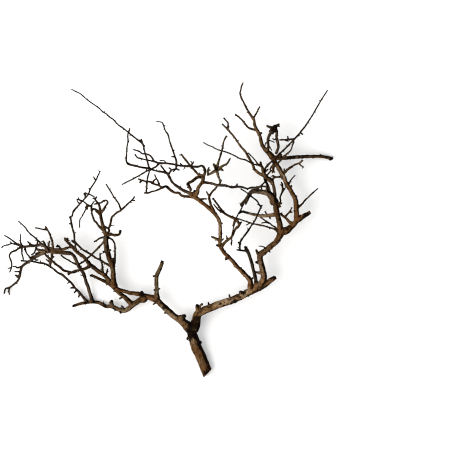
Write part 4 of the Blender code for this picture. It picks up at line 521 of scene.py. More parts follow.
         [(321, 22), (331, 26), (346, 36), (357, 41)]),
        ("crown right twig 1", "crown right limb", (2.1, 1.7, 1.3, 1), (50, 53),
         [(320.7, 50), (335, 62), (344, 73), (351, 79), (362, 90), (376, 102)]),
        ("crown right twig 2", "crown right limb", (2.6, 2.2, 1.7), (44, 43),
         [(287, 137), (299, 148), (309, 155), (318, 161), (329, 165), (338, 172)]),
        ("crown right tip", "crown right twig 2", (1.5, 1.1), (44,), [(328, 164), (333, 158), (340, 154)]),
        ("crown right thin", "crown right limb", (1.5, 0.9), (46,), [(300, 109), (309, 124), (319, 135)]),
        ("crown between", "crown right limb", (3.4, 3, 2.8, 2.4), (59, 61, 62),
         [(313, 11), (304, 17), (295, 27), (287, 33), (280, 39)]),
        ("between fork", "crown between", (1.9, 1.3), (62, 62), [(292, 29), (298, 36), (304, 41), (312, 42)]),
        ("between tip", "between fork", (1.4, 1), (64,), [(303, 41), (311, 54)]),
        ("crook", "crown right limb", (2.8, 2.3, 2), (50, 54),
         [(288, 132), (276, 130), (267.6, 130), (261, 134)]),
        ("crook tip", "crook", (1.9, 1.4), (56,), [(268, 130), (258, 122.5), (251, 124)]),
        ("down spur", "crown right limb", (3.4, 2.8, 1.6), (52,), [(267, 167), (263, 150), (261, 139)]),
        ("second strand", "crown right limb", (2.2, 1.8, 1.6, 1.4), (54, 60, 64, 66),
         [(271, 161), (276, 166), (285, 174.6), (295, 185), (306, 195.6), (311, 208), (315, 220)]),
    ],
    "crown_tip_limb": [
        ("crown tip limb", "crown right limb",
         (6, 5, 4.5, 4.1, 3.9, 3.8, 3.5, 3.1, 2.8, 2.3, 2, 1.9, 1.7, 1.4, 1.1),
         (44, 47, 51, 55, 58, 61, 63, 65),
         [(262, 177.5), (255, 187.5), (243, 199), (235.7, 209.6), (232, 222), (230, 232), (225, 243),
          (220, 252), (216.4, 262), (215.5, 271), (211, 278), (204, 288.6), (197, 301), (190, 315),
          (183, 329), (180, 339), (182, 346), (184, 357), (188.3, 366.6)]),
        ("tip twig", "crown tip limb", (1.7, 1.1), (62,), [(213, 275), (221.6, 290), (230, 306)]),
        ("tip left twig", "crown tip limb", (2.5, 2, 1.7, 1.4), (58, 60),
         [(222, 248), (211, 249), (200.6, 253.5), (192, 264), (181, 276), (168, 287)]),
        ("tip bump", "crown tip limb", (2.8, 2), (55,), [(228, 237), (235, 240)]),
    ],
    "dead_stub": [
        ("dead stub", "crown right limb", (5, 4.2, 4, 3.8, 3.6, 3.5, 3.6, 3.4), (35, 29, 22, 16, 10, 3.8),
         [(264, 176), (278, 178), (292, 177), (308, 179), (323, 180), (341, 181), (358, 181.6), (374, 181.6),
          (388, 181), (400.5, 179), (411, 176)]),
    ],
    "burl_stems": [
        ("burl left stem", "crown tip limb", (3.4, 3.1, 3, 3.1, 3.4), (54, 58, 60, 62),
         [(248, 195), (251, 204), (250.6, 213), (250.6, 225), (255, 236), (263, 246)]),
        ("burl", "burl left stem", (4.6, 6, 5.4), (63, 63), [(258, 240), (265, 251), (270, 258)]),
        ("burl prong 1", "burl", (3, 2), (64,), [(263, 252), (254, 254), (246, 258)]),
        ("burl prong 2", "burl", (3, 2), (64,), [(267, 254), (279, 262)]),
        ("burl right stem", "burl", (3.3, 3, 2.9, 3, 3.3), (60, 57, 55),
         [(267, 254), (272, 241), (271.6, 231), (274.3, 217), (276, 206), (273.4, 196), (269, 187)]),
    ],
    "right_wand": [
        ("right wand", "crown left limb",
         (2.8, 2.2, 2, 2, 1.9, 1.9, 1.9, 1.8, 1.8, 1.7, 1.5, 1.3, 1.2, 1.1, 1, 0.8),
         (86, 81, 78, 77, 77, 78, 80, 83),
         [(240, 139), (244, 152), (253, 163), (263.7, 173), (276, 185), (288, 195.6), (300.6, 208),
          (313, 221), (327, 236), (332, 243), (341, 253.5), (348, 264), (357, 278), (364, 288.6),
          (372.5, 304), (383, 322), (392, 336), (398.8, 346.4)]),
        ("wand side twig", "right wand", (1.9, 1.7, 1.5), (80, 80),
         [(315, 223), (306, 223.7), (293.6, 222.8), (278, 222)]),
        ("wand thorn 1", "wand side twig", (1.3, 0.9), (82,), [(300, 223), (299, 232)]),
        ("wand thorn 2", "right wand", (1.4, 1), (76,), [(331, 241), (337.5, 235)]),
    ],
}

def plan_lengths(points):
    """Distances along a line, in plan, from its first point to each of its points."""
    total = [0.0]
    for a, b in zip(points, points[1:]):
        total.append(total[-1] + math.hypot(b[0] - a[0], b[1] - a[1]))
    return total


def spread(values, share):
    """The value at a share (0 to 1) of the way through evenly spread values, with straight steps between."""
    place = min(max(share, 0.0), 1.0) * (len(values) - 1)
    k = min(int(place), len(values) - 2)
    return values[k] + (values[k + 1] - values[k]) * (place - k)


def smooth_points(points):
    """Points of a Catmull-Rom curve through the given points, SPAN_STEPS to each span."""
    ends = [points[0] * 2 - points[1]] + points + [points[-1] * 2 - points[-2]]
    out = []
    for p0, p1, p2, p3 in zip(ends, ends[1:], ends[2:], ends[3:]):
        for k in range(SPAN_STEPS):
            t = k / SPAN_STEPS
            out.append(0.5 * ((2 * p1) + (p2 - p0) * t + (2 * p0 - 5 * p1 + 4 * p2 - p3) * t * t
                              + (3 * p1 - p0 - 3 * p2 + p3) * t * t * t))
    out.append(points[-1].copy())
    return out


class Stretch:
    """One stretch of wood: a smooth centre line in metres and a radius along it."""

    def __init__(self, name, node, parent, radii, heights, plan):
        self.name = name
        self.node = node
        self.parent = parent
        self.radii = [r * MM + BARK_DEPTH for r in radii]
        lengths = plan_lengths(plan)
        levels = [h * MM for h in heights]
        if parent:
            self.root = parent.nearest(plan[0])
            start = parent.at(self.root)
            levels.insert(0, start.z)
        knots = [Vector((x * MM, y * MM, spread(levels, s / lengths[-1])))
                 for (x, y), s in zip(plan, lengths)]
        if parent:
            knots[0] = start
        self.line = smooth_points(knots)
        self.marks = [0.0]
        for a, b in zip(self.line, self.line[1:]):
            self.marks.append(self.marks[-1] + (b - a).length)
        self.length = self.marks[-1]

    def at(self, s):
        """The point of the centre line at the distance s from its root."""
        s = min(max(s, 0.0), self.length)
        k = min(bisect.bisect_right(self.marks, s), len(self.marks) - 1)
        a, b = self.marks[k - 1], self.marks[k]
        return self.line[k - 1].lerp(self.line[k], (s - a) / (b - a) if b > a else 0.0)

    def radius(self, s):
        return spread(self.radii, s / self.length)

    def nearest(self, point):
        """The distance along the line of its nearest point, in plan, to one in millimetres."""
        point = Vector((point[0] * MM, point[1] * MM))
        away = [math.hypot(place.x - point.x, place.y - point.y) for place in self.line]
        return self.marks[away.index(min(away))]


SLOTS = {row["node"]: row["material_slot"] for row in frame["record"]["subparts"]}

# How much lighter or darker than its slot a piece is, where it isn't the same
SHADES = {
    "trunk": 0.78, "left_limb": 0.9, "left_lower_limb": 0.68, "left_middle_limb": 0.55,
    "left_upper_limb": 0.8, "far_left_limb": 0.78, "far_left_spray": 0.75, "foot_branch": 0.75,
    "middle_left_branch": 0.62, "arc_branch": 0.65, "side_branch": 0.65, "snag": 0.65, "dead_rod": 0.4,
    "dead_stub": 0.75, "tall_limb": 0.66, "crown_left_limb": 0.72, "crown_right_limb": 1.1,
    "crown_tip_limb": 1.15, "burl_stems": 1.2, "long_right_twig": 0.8, "light_branch": 1.4,
    "right_limb": 1.35, "top_left_branch": 0.85, "top_hub": 1.1, "elbow_branch": 1.1,
    "upper_left_twig": 1.4, "shelf_twig": 0.85, "curved_twig": 0.85,
}

# Places, in plan and millimetres, where the bark is near black, reddish or tan (the tan shows only on ridges
# painted lit): x, y, reach
DARK_PLACES = [
    (57, -262, 17), (62, -240, 16), (70, -226, 9), (44, -219, 10), (84, -272, 7), (50, -281, 6),
    (79, -286, 5), (131, -187, 4), (167, -180, 5), (152, -167, 4), (101, -187, 4), (183, -179, 4),
    (-8, -196, 7), (-65, -163, 8), (-99, 162, 6), (-4, 106, 6), (266, 252, 12), (270, -121, 9),
    (-219, -92, 7), (-215, -85, 5), (-205, -186, 6), (-184, -189, 7), (-160, -196, 6), (-136, -203, 6),
    (240, 120, 6), (205, 78, 6), (192, 41, 8), (182, 40, 7), (-240, -194, 10), (-196, -117, 7),
    (73, -188, 6), (411, 176, 7), (67, 97, 6), (118, -40, 8), (220, -83, 7), (-13, -80, 6), (-119, -211, 5),
    (97, -362, 9), (122, 149, 6), (-142, -52, 5), (51, 113, 5), (193, -45, 5), (139, 145, 4), (176, 38, 6),
    (-277, -41, 5), (346, 31, 10), (264, 165, 5), (187, -158, 6), (-141, -180, 5),
]
RED_PLACES = [
    (72, -308, 17), (75, -314, 15), (95, -353, 13), (207, -145, 18), (-38, -173, 18), (-134, -147, 12),
    (287, -6, 26), (318, 30, 24), (272, 45, 16), (262, 177, 12), (90, 62, 16), (30, -226, 12),
    (150, -70, 14), (236, -120, 14),
]
TAN_PLACES = [
    (5, -209, 20), (150, -181, 26), (195, -161, 16), (130, 0, 22), (-152, -40, 20), (285, 135, 20),
    (235, -90, 16), (60, -275, 10), (-110, -204, 14), (-28, -150, 18), (330, 181, 30), (216, -115, 22),
    (-310, -56, 20), (220, 34, 30), (238, 93, 16), (120, 120, 16),
]

# Short spurs and thin side twigs: what each grows from, radii, rise above its root, and plan
SPURS = [
    ("mass stub 1", (1.4, 1.0), 1, [(-274, -44), (-280, -44)]),
    ("middle limb", (2.2, 1.4), 5, [(-244, -39), (-251, -31), (-252, -22)]),
    ("middle limb", (2.7, 2.0), 6, [(-229, -56), (-232, -46), (-230, -37)]),
    ("middle limb", (2.4, 2.0), -5, [(-237, -47), (-246, -46), (-255, -48)]),
    ("curved twig", (2.2, 1.5), 2, [(-231, -36), (-236, -33), (-241, -29)]),
    ("foot branch", (2.3, 1.8), 3, [(-314, -61), (-324, -60), (-332, -64)]),
    ("foot branch", (2.0, 1.5), 1, [(-329, -68), (-338, -69), (-345, -73)]),
    ("far left limb", (2.2, 1.6), 4, [(-320, -54), (-328, -50), (-331, -45)]),
    ("far left limb", (3.2, 2.2), 4, [(-280, -56), (-291, -50), (-302, -46), (-311, -41)]),
    ("spray limb", (1.7, 1.2), 3, [(-325, -40), (-326, -35), (-325, -30)]),
    ("spray limb", (1.9, 1.4), 4, [(-303, -47), (-307, -38), (-312, -29)]),
    ("low long twig", (2.6, 2.0), 1, [(-292, -76), (-300, -70), (-308, -62)]),
    ("down twig", (1.2, 0.9), 1, [(-295, -85), (-301, -79), (-305, -75)]),
    ("spray twig d", (1.2, 0.8), 1, [(-391, -96), (-396, -98), (-401, -99)]),
    ("foot branch", (1.3, 0.8), 2, [(-371, -107), (-378, -107), (-385, -107)]),
    ("curved side twig", (1.2, 0.9), 1, [(-205, 84), (-209, 88), (-203, 91)]),
    ("curved twig", (1.7, 1.3), 2, [(-214, 68), (-219, 71), (-223, 75)]),
    ("curved twig", (1.2, 0.8), 2, [(-220, 62), (-225, 68), (-227, 75)]),
    ("curved twig", (1.7, 1.3), 1, [(-242, 26), (-246, 31)]),
    ("curved twig", (1.1, 0.8), 1, [(-241, 13), (-247, 13)]),
    ("curved twig", (1.2, 0.9), 1, [(-194, 98), (-197, 102)]),
    ("left prong", (1.4, 1.0), 1, [(-179, 74), (-184, 76), (-188, 76)]),
    ("high left twig", (1.7, 1.1), 1, [(-200, 60), (-203, 56), (-206, 52)]),
    ("high left twig", (1.3, 1.0), 1, [(-196, 58), (-201, 53), (-199, 48)]),
    ("high left twig", (1.4, 1.0), 2, [(-191, 57), (-187, 64), (-182, 70)]),
    ("high link", (2.3, 1.9), 1, [(-171, 40), (-177, 43), (-180, 47)]),
    ("shelf thorn 2", (1.4, 1.0), 1, [(21, 152), (25, 148), (30, 146)]),
    ("top left spur 2", (1.5, 1.2), 2, [(6, 143), (13, 148), (22, 150)]),
    ("shelf twig", (1.4, 1.0), 3, [(58, 156), (61, 163), (57, 169)]),
    ("shelf twig", (1.0, 0.8), 3, [(58, 157), (63, 163), (65, 168)]),
    ("shelf twig", (1.3, 0.8), 1, [(36, 157), (31, 164)]),
    ("shelf twig", (0.8, 0.6), 2, [(-4, 163), (-9, 170), (-20, 170)]),
    ("long wand", (1.1, 0.8), 1, [(-66, 215), (-70, 223)]),
    ("long wand", (1.2, 0.9), 1, [(-60, 205), (-57, 209)]),
    ("middle left branch", (1.6, 1.1), 3, [(-35, 112), (-36, 119), (-29, 125)]),
    ("middle left branch", (1.6, 1.2), 0, [(-65, 121), (-70, 115)]),
    ("hub loop", (1.9, 1.3), 1, [(53, 111), (47, 114)]),
    ("hub loop", (1.7, 1.2), 1, [(54, 104), (48, 104)]),
    ("riser stub 3", (1.2, 0.9), 1, [(101, 145), (107, 147)]),
    ("riser", (1.5, 1.0), 1, [(130, 119), (135, 122)]),
    ("elbow branch", (1.2, 0.9), -2, [(168, 22), (165, 8), (163, -2), (160, -14)]),
    ("elbow branch", (0.9, 0.6), -2, [(159, -19), (159, -30), (158, -41)]),
    ("outer thin twig 2", (1.1, 0.8), 1, [(252, 13), (243, 16), (233, 14)]),
    ("outer thin twig 1", (1.0, 0.7), 0, [(205, 13), (195, 9)]),
    ("outer limb", (1.5, 1.0), -2, [(249, -50), (256, -59)]),
    ("outer limb", (0.8, 0.6), 1, [(246, -46), (237, -44), (226, -43)]),
    ("crown left limb", (2.7, 2.7), -10, [(242, 133), (243, 122), (248.5, 111), (252.5, 99.5), (256, 88)]),
    ("crown left limb", (1.5, 1.1), 4, [(241, 141), (246, 145), (251, 150)]),
    ("crown left limb", (1.7, 1.2), 4, [(246, 132), (252, 139), (259, 147)]),
    ("crown left limb", (2.7, 1.9), 2, [(273, 60), (281, 63), (285, 64)]),
    ("crown left limb", (2.5, 1.7), 0, [(274, 53), (283, 57)]),
    ("down spur", (2.4, 1.5), 1, [(264, 160), (258, 153), (255, 146)]),
    ("down spur", (2.4, 1.5), 2, [(264, 153), (264, 145), (268, 141)]),
    ("arc branch", (1.5, 1.1), 5, [(231, 93), (234, 100), (231, 107)]),
    ("arc branch", (1.4, 1.0), 4, [(221, 94), (225, 99), (224, 104)]),
    ("arc second twig", (1.5, 1.0), 1, [(247, 105), (239, 106), (230, 104)]),
    ("burl left stem", (0.8, 0.6), 1, [(251, 220), (258, 220), (267, 216)]),
    ("burl left stem", (0.8, 0.6), 0, [(251, 208), (256, 203), (260, 195)]),
    ("burl left stem", (1.0, 0.7), 0, [(251, 216), (244, 214), (243, 207)]),
    ("burl right stem", (1.2, 0.8), 1, [(272, 228), (267, 223), (261, 226)]),
    ("wand side twig", (1.1, 0.8), 1, [(292, 223), (297, 220), (302, 218)]),
    ("crown right limb", (2.7, 1.9), 2, [(301, 105), (308, 106), (310, 109)]),
    ("crown right limb", (2.4, 1.6), 2, [(316, 80), (322, 83)]),
    ("crown right twig 2", (1.4, 1.0), 2, [(291, 141), (291, 147), (290, 152)]),
    ("crown hanging twig", (1.4, 1.0), 1, [(287, 104), (284, 109), (280, 111)]),
    ("dead stub", (2.0, 1.4), 1, [(292, 178), (293, 173)]),
    ("dead stub", (2.4, 2.0), 0, [(364, 181), (364, 176.5)]),
    ("dead stub", (3.4, 2.6), 4, [(279, 178), (284, 187)]),
    ("dead stub", (2.6, 2.0), 0, [(403, 178), (409, 172.5)]),
    ("dead stub", (2.6, 2.2), 0, [(408, 177), (413.5, 176)]),
    ("arc branch", (2.6, 2.4, 2.0), -2, [(205, 79), (197.5, 69.5), (194, 60)]),
    ("dead stub", (1.9, 1.3), 1, [(305, 179), (306, 174)]),
    ("dead stub", (1.7, 1.2), 1, [(336, 181), (337, 175)]),
    ("stem", (4.5, 3.5), 0, [(66, -286), (58.5, -287)]),
    ("left limb", (5.5, 5.0), 0, [(42, -236), (45.5, -231)]),
    ("stem", (3.0, 1.9), 2, [(73, -282), (80, -283), (83, -287)]),
    ("right limb", (2.4, 1.7), 0, [(233, -143), (239, -149)]),
    ("right limb", (2.2, 1.6), 0, [(197, -161), (203, -169)]),
    ("right limb", (4.0, 3.2), 1, [(172, -173), (168, -181), (163, -184)]),
    ("right limb", (3.4, 2.6), 6, [(190, -163), (183, -158), (178, -158)]),
    ("left limb", (3.0, 2.4), 5, [(22, -224), (29, -219), (35, -217)]),
    ("dead rod", (3.2, 2.8), 1, [(198, -54), (194, -47), (192.5, -43)]),
]

def fork_arm(child, grown):
    """How far a fork's arm runs before it is clear of all that leaves the same piece."""
    piece = child.parent.node
    beside = [s for s in grown.values()
              if s is not child and (s.node == piece or s.parent and s.parent.node == piece)]
    s = child.radius(0.0)
    while s < child.length / 2:
        place, radius = child.at(s), child.radius(s)
        if all((other.line[k] - place).length > radius + other.radius(other.marks[k]) + CLEAR
               for other in beside for k in range(len(other.line))):
            return s
        s += MM
    raise ValueError(child.name)


def grow_stretches():
    """Every stretch of the table, by name, parents before what grows from them."""
    grown = {}
    for node, rows in TREE.items():
        for name, parent, radii, heights, plan in rows:
            grown[name] = Stretch(name, node, grown.get(parent), radii, heights, plan)
    return grown


def grow_spurs(grown):
    """The spurs, which rise from the height of what they grow from."""
    spurs = []
    for number, (parent, radii, rise, plan) in enumerate(SPURS):
        wood = grown[parent]
        foot = wood.at(wood.nearest(plan[0]))
        spurs.append(Stretch(f"spur {number}", wood.node, wood, radii, (foot.z / MM + rise,), plan))
    return spurs


def twig_radius(stretch, s, seed):
    """The radius with the swellings that real wood has, and a collar where it leaves its parent."""
    radius = stretch.radius(s)
    radius += THIN_EXTRA * (1.0 - ramp(radius, THIN_FROM, THIN_TO))
    long = noise.noise(Vector((s / SWELL_LONG, seed, 0.0)))
    short = noise.noise(Vector((s / SWELL_SHORT, seed, 3.0)))
    swell = min(SWELL_MOST, SWELL_HEIGHT / radius) * (long + 0.5 * short)
    if stretch.parent:
        out = s - stretch.parent.radius(stretch.root)
        swell += COLLAR * math.exp(-max(out, 0.0) / (COLLAR_REACH * radius))
    tip = (stretch.length - s) / radius
    if tip < 1.0:
        swell -= TIP_TAPER * (1.0 - tip)
    return radius * (1.0 + swell)


class Path:
    """Rings along a stretch between two distances, with frames that don't twist."""

    def __init__(self, stretch, start, end, seed):
        self.stretch = stretch
        self.seed = seed
        step = max(SHORTEST_STEP, min(LONGEST_STEP, stretch.radius(start) * 0.5))
        count = max(3, int((end - start) / step))
        self.marks = [start + (end - start) * k / count for k in range(count + 1)]
        self.places = []
        self.radii = []
        for s in self.marks:
            most = min(BEND_MOST, BEND_SHARE * stretch.radius(s) + BEND_LEAST)
            bend = noise.noise_vector(Vector((s / BEND_SPAN, seed, 7.0))) * most
            self.places.append(stretch.at(s) + bend * min(1.0, s / BEND_FADE))
            self.radii.append(twig_radius(stretch, s, seed))
        self.frames = []
        side = None
        for k in range(len(self.marks)):
            a, b = self.places[max(k - 2, 0)], self.places[min(k + 2, len(self.places) - 1)]
            way = (b - a).normalized()
            if side is None:
                side = way.orthogonal().normalized()
            side = (side - way * side.dot(way)).normalized()
            self.frames.append((way, side, way.cross(side)))


def add_tube(places, radii, frames, verts, faces, sides=TUBE_SIDES):
    """Adds a closed tube to a list of vertices and faces."""
    first = len(verts)
    for place, radius, (_, side, other) in zip(places, radii, frames):
        for k in range(sides):
            turn = 2 * math.pi * k / sides
            verts.append(place + (side * math.cos(turn) + other * math.sin(turn)) * radius)
    rings = len(places)
    for r in range(rings - 1):
        for k in range(sides):
            a = first + r * sides + k
            b = first + r * sides + (k + 1) % sides
            faces.append((a, b, b + sides, a + sides))
    faces.append(tuple(first + k for k in reversed(range(sides))))
    faces.append(tuple(first + (rings - 1) * sides + k for k in range(sides)))


def knob_kind(radius, chance):
    """Thick wood mostly carries lumps, and thin wood buds, thorns and a few spikes."""
    if radius > LUMPY_GIRTH and chance < 0.92:
        return LUMP
    if chance < 0.52:
        return BUD
    return THORN if chance < 0.94 else SPIKE


def add_knobs(path, verts, faces, draw):
    """Buds, short spurs and leaf scars that stand out along a path."""
    s = path.marks[0] + draw.uniform(0.3, 1.2) * KNOB_SPACING
    turn = draw.uniform(0, 6.28)
    while s < path.marks[-1] - 0.002:
        k = min(range(len(path.marks)), key=lambda n: abs(path.marks[n] - s))
        way, side, other = path.frames[k]
        radius = path.radii[k]
        out = side * math.cos(turn) + other * math.sin(turn)
        aim = (out + way * draw.uniform(0.25, 0.9)).normalized()
        shortest, longest, thinnest, thickest, end = knob_kind(radius, draw.random())
        length = draw.uniform(shortest, longest) * MM
        base = draw.uniform(thinnest, thickest) * MM
        if radius < SLIM_GIRTH:
            base = min(base, radius * 0.95)
            length *= 0.7
        root = path.places[k]
        tip = root + aim * (radius + length)
        if tip.z > KNOB_LOW:
            bend = noise.noise_vector(root * 300.0) * 0.25 * length
            points = [root + aim * radius * 0.4, root + aim * (radius + length * 0.5) + bend, tip]
            across = aim.orthogonal().normalized()
            local = (aim, across, aim.cross(across))
            add_tube(points, [base * 1.15, base * 0.8, end * MM], [local] * 3, verts, faces, KNOB_SIDES)
        s += KNOB_SPACING * draw.uniform(0.45, 1.7)
        turn += 2.4 + draw.uniform(-0.7, 0.7)


def drop_specks(mesh):
    """Deletes the tiny loose shells that a voxel skin leaves in tight forks."""
    cage = bmesh.new()
    cage.from_mesh(mesh)
    seen = set()
    specks = []
    for vert in cage.verts:
        if vert in seen:
            continue
        shell = [vert]
        seen.add(vert)
        for one in shell:
            beside = [edge.other_vert(one) for edge in one.link_edges]
            fresh = [other for other in beside if other not in seen]
            seen.update(fresh)
            shell += fresh
        if len(shell) < SPECK_VERTS:
            specks += shell
    bmesh.ops.delete(cage, geom=specks, context="VERTS")
    cage.to_mesh(mesh)
    cage.free()


def saw_off(mesh):
    """Cuts the butt's end off flat."""
    cage = bmesh.new()
    cage.from_mesh(mesh)
    cut = bmesh.ops.bisect_plane(cage, geom=cage.verts[:] + cage.edges[:] + cage.faces[:], dist=1e-6,
                                 plane_co=BUTT_PLACE, plane_no=BUTT_FACING, clear_outer=True)
    edges = [e for e in cut["geom_cut"] if isinstance(e, bmesh.types.BMEdge)]
    bmesh.ops.edgeloop_fill(cage, edges=edges)
    cage.to_mesh(mesh)
    cage.free()


def fused(node, verts, faces, voxel):
    """One closed skin round overlapping tubes, softened so that the forks have fillets."""
    mesh = bpy.data.meshes.new(node + "_rough")
    mesh.from_pydata([tuple(v) for v in verts], [], faces)
    if node == "trunk":
        saw_off(mesh)
    rough = bpy.data.objects.new(node + "_rough", mesh)
    bpy.context.scene.collection.objects.link(rough)
    skin = rough.modifiers.new("skin", "REMESH")
    skin.mode = "VOXEL"
    skin.voxel_size = voxel
    soften = rough.modifiers.new("soften", "SMOOTH")
    soften.factor = 0.5
    soften.iterations = SMOOTH_TURNS
    spare = rough.modifiers.new("spare", "DECIMATE")
    spare.ratio = KEPT_SHARE
    bpy.context.view_layer.update()
    done = bpy.data.meshes.new_from_object(rough.evaluated_get(bpy.context.evaluated_depsgraph_get()))
    done.name = node + "_wood"
    bpy.data.objects.remove(rough, do_unlink=True)
    bpy.data.meshes.remove(mesh)
    drop_specks(done)
    return done


def spots(points, places):
    """How close each point is to any of the places, from 0 to 1."""
    best = np.zeros(len(points))
    for x, y, reach in places:
        away = ((points[:, 0] - x * MM) ** 2 + (points[:, 1] - y * MM) ** 2) / (reach * MM) ** 2
        best = np.maximum(best, np.exp(-away))
    return best


def ramp(values, low, high):
    """A smooth step from 0 to 1 between two values."""
    t = np.clip((values - low) / (high - low), 0.0, 1.0)
    return t * t * (3.0 - 2.0 * t)


def bumps(grain, size, offset):
    """Noise in the wood's own space, whose bumps have a width and a length along the grain."""
    x, y, z = grain
    width, length = size
    return noise.noise(Vector((x / width, y / width, z / length + offset)))


def bark_relief(grain, girth):
    """Height of the bark: long ridges and lumps on limbs, fine wrinkles on twigs."""
    share = min(1.0, girth / FULL_GIRTH)
    ridges = 1.0 - 2.2 * abs(bumps(grain, RIDGES, 0.0))
    coarse = RIDGE_HEIGHT * ridges + LUMP_HEIGHT * bumps(grain, LUMPS, 9.0)
    return coarse * MM * share + WRINKLE_HEIGHT * bumps(grain, WRINKLES, 4.0) * MM * (0.35 + share)


def wood_samples(node, paths):
    """Points of a piece's centre lines: place, radius, frame, distance along the grain and from the tip."""
    samples = []
    for path in paths:
        wood = path.stretch
        inside = wood.parent.radius(wood.root) * 0.8 if wood.parent else -1.0
        offset = (path.seed * 0.37) % 5.0
        for k, s in enumerate(path.marks):
            if s >= inside or wood.node != node and k > len(path.marks) // 2:
                samples.append((path.places[k], path.radii[k], path.frames[k], s + offset, wood.length - s))
    return samples


def read_vectors(items, key):
    """A vector of each of a mesh's items, as rows."""
    flat = np.empty(len(items) * 3)
    items.foreach_get(key, flat)
    return flat.reshape(-1, 3)


def dress(node, mesh, paths):
    """Restores each stretch's thickness, raises the bark, and stores what the bark's material reads."""
    samples = wood_samples(node, paths)
    tree = kdtree.KDTree(len(samples))
    for k, sample in enumerate(samples):
        tree.insert(sample[0], k)
    tree.balance()
    coords = read_vectors(mesh.vertices, "co")
    normals = read_vectors(mesh.vertex_normals, "vector")
    grains = np.empty_like(coords)
    girths, ends, cuts = np.zeros((3, len(coords)))
    facing = Vector(BUTT_FACING).normalized()
    for k in range(len(coords)):
        place = Vector(coords[k])
        normal = Vector(normals[k])
        centre, radius, (way, side, other), s, to_tip = samples[tree.find(place)[1]]
        off = place - centre
        along = off.dot(way)
        flat = off - way * along
        reach = flat.length
        grain = (flat.dot(side), flat.dot(other), s + along)
        sideways = max(0.0, 1.0 - abs(normal.dot(way))) ** 2
        if 1e-6 < reach < radius:
            place = place + flat * (radius / reach - 1.0) * sideways
        beyond = (place - Vector(BUTT_PLACE)).dot(facing)
        if node == "trunk" and beyond > -BUTT_SLACK and normal.dot(facing) > 0.6:
            cuts[k] = 1.0
            place = place - facing * beyond + facing * (SAW_MARKS * noise.noise(place * SAW_FINENESS))
        else:
            place = place + normal * bark_relief(grain, radius)
        coords[k] = place
        grains[k] = grain
        girths[k] = radius
        thorn = (reach - 1.2 * radius - 0.0004) / 0.0015
        ends[k] = max(0.0, 1.0 - to_tip / DARK_TIP, min(0.9, thorn))
    coords[:, 2] = np.maximum(coords[:, 2], GROUND)
    mesh.vertices.foreach_set("co", coords.ravel())
    mesh.update()
    # Painted light and shade: bark that faces the key lamp is painted lighter, and bark that faces away from
    # it or downwards is painted darker
    faces_key_lamp = ramp(normals @ np.array(PAINTED_LIGHT_SIDE), -0.15, 0.75)
    faces_up = ramp(normals[:, 2], -0.1, 0.4)
    values = {
        "girth": girths,
        "cut": cuts,
        "tip": ends,
        "dark": spots(coords, DARK_PLACES),
        "red": spots(coords, RED_PLACES),
        "tan": spots(coords, TAN_PLACES),
        "painted_lit_side": faces_key_lamp * (0.5 + 0.5 * faces_up),
        "shade": SHADES.get(node, 1.0) * (0.42 + 0.84 * ramp(girths, 0.0012, 0.0050)),
    }
    for name, numbers in values.items():
        mesh.attributes.new(name, "FLOAT", "POINT").data.foreach_set("value", numbers.astype(np.float32))
    stored = mesh.attributes.new("grain", "FLOAT_VECTOR", "POINT")
    stored.data.foreach_set("vector", grains.ravel().astype(np.float32))
    mesh.shade_smooth()


class Graph:
    """Makes a material's nodes and links. A value is a number, a colour or another node's output."""

    def __init__(self, material):
        material.use_nodes = True
        self.tree = material.node_tree
        self.shader = self.tree.nodes["Principled BSDF"]

    def put(self, socket, value):
        if isinstance(value, bpy.types.NodeSocket):
            self.tree.links.new(value, socket)
        else:
            socket.default_value = value

    def attribute(self, name, output="Fac"):
        node = self.tree.nodes.new("ShaderNodeAttribute")
        node.attribute_name = name
        return node.outputs[output]

    def stretched(self, vector, scale):
        node = self.tree.nodes.new("ShaderNodeMapping")
        node.inputs["Scale"].default_value = scale
        self.put(node.inputs["Vector"], vector)
        return node.outputs["Vector"]

    def parts(self, vector):
        node = self.tree.nodes.new("ShaderNodeSeparateXYZ")
        self.put(node.inputs[0], vector)
        return node.outputs

    def noise(self, vector, scale, detail=4.0, roughness=0.55, distortion=0.0):
        node = self.tree.nodes.new("ShaderNodeTexNoise")
        self.put(node.inputs["Vector"], vector)
        node.inputs["Scale"].default_value = scale
        node.inputs["Detail"].default_value = detail
        node.inputs["Roughness"].default_value = roughness
        node.inputs["Distortion"].default_value = distortion
        return node.outputs["Fac"]

    def remap(self, value, low, high, to_low=0.0, to_high=1.0):
        node = self.tree.nodes.new("ShaderNodeMapRange")
        node.interpolation_type = "SMOOTHSTEP"
        for key, number in (("From Min", low), ("From Max", high), ("To Min", to_low), ("To Max", to_high)):
            node.inputs[key].default_value = number
        self.put(node.inputs["Value"], value)
        return node.outputs["Result"]

    def math(self, operation, a, b=0.0, clamp=False):
        node = self.tree.nodes.new("ShaderNodeMath")
        node.operation = operation
        node.use_clamp = clamp
        self.put(node.inputs[0], a)
        self.put(node.inputs[1], b)
        return node.outputs[0]

    def mix(self, factor, a, b, blend="MIX"):
        node = self.tree.nodes.new("ShaderNodeMix")
        node.data_type = "RGBA"
        node.blend_type = blend
        self.put(node.inputs["Factor"], factor)
        self.put(node.inputs[6], a)
        self.put(node.inputs[7], b)
        return node.outputs[2]
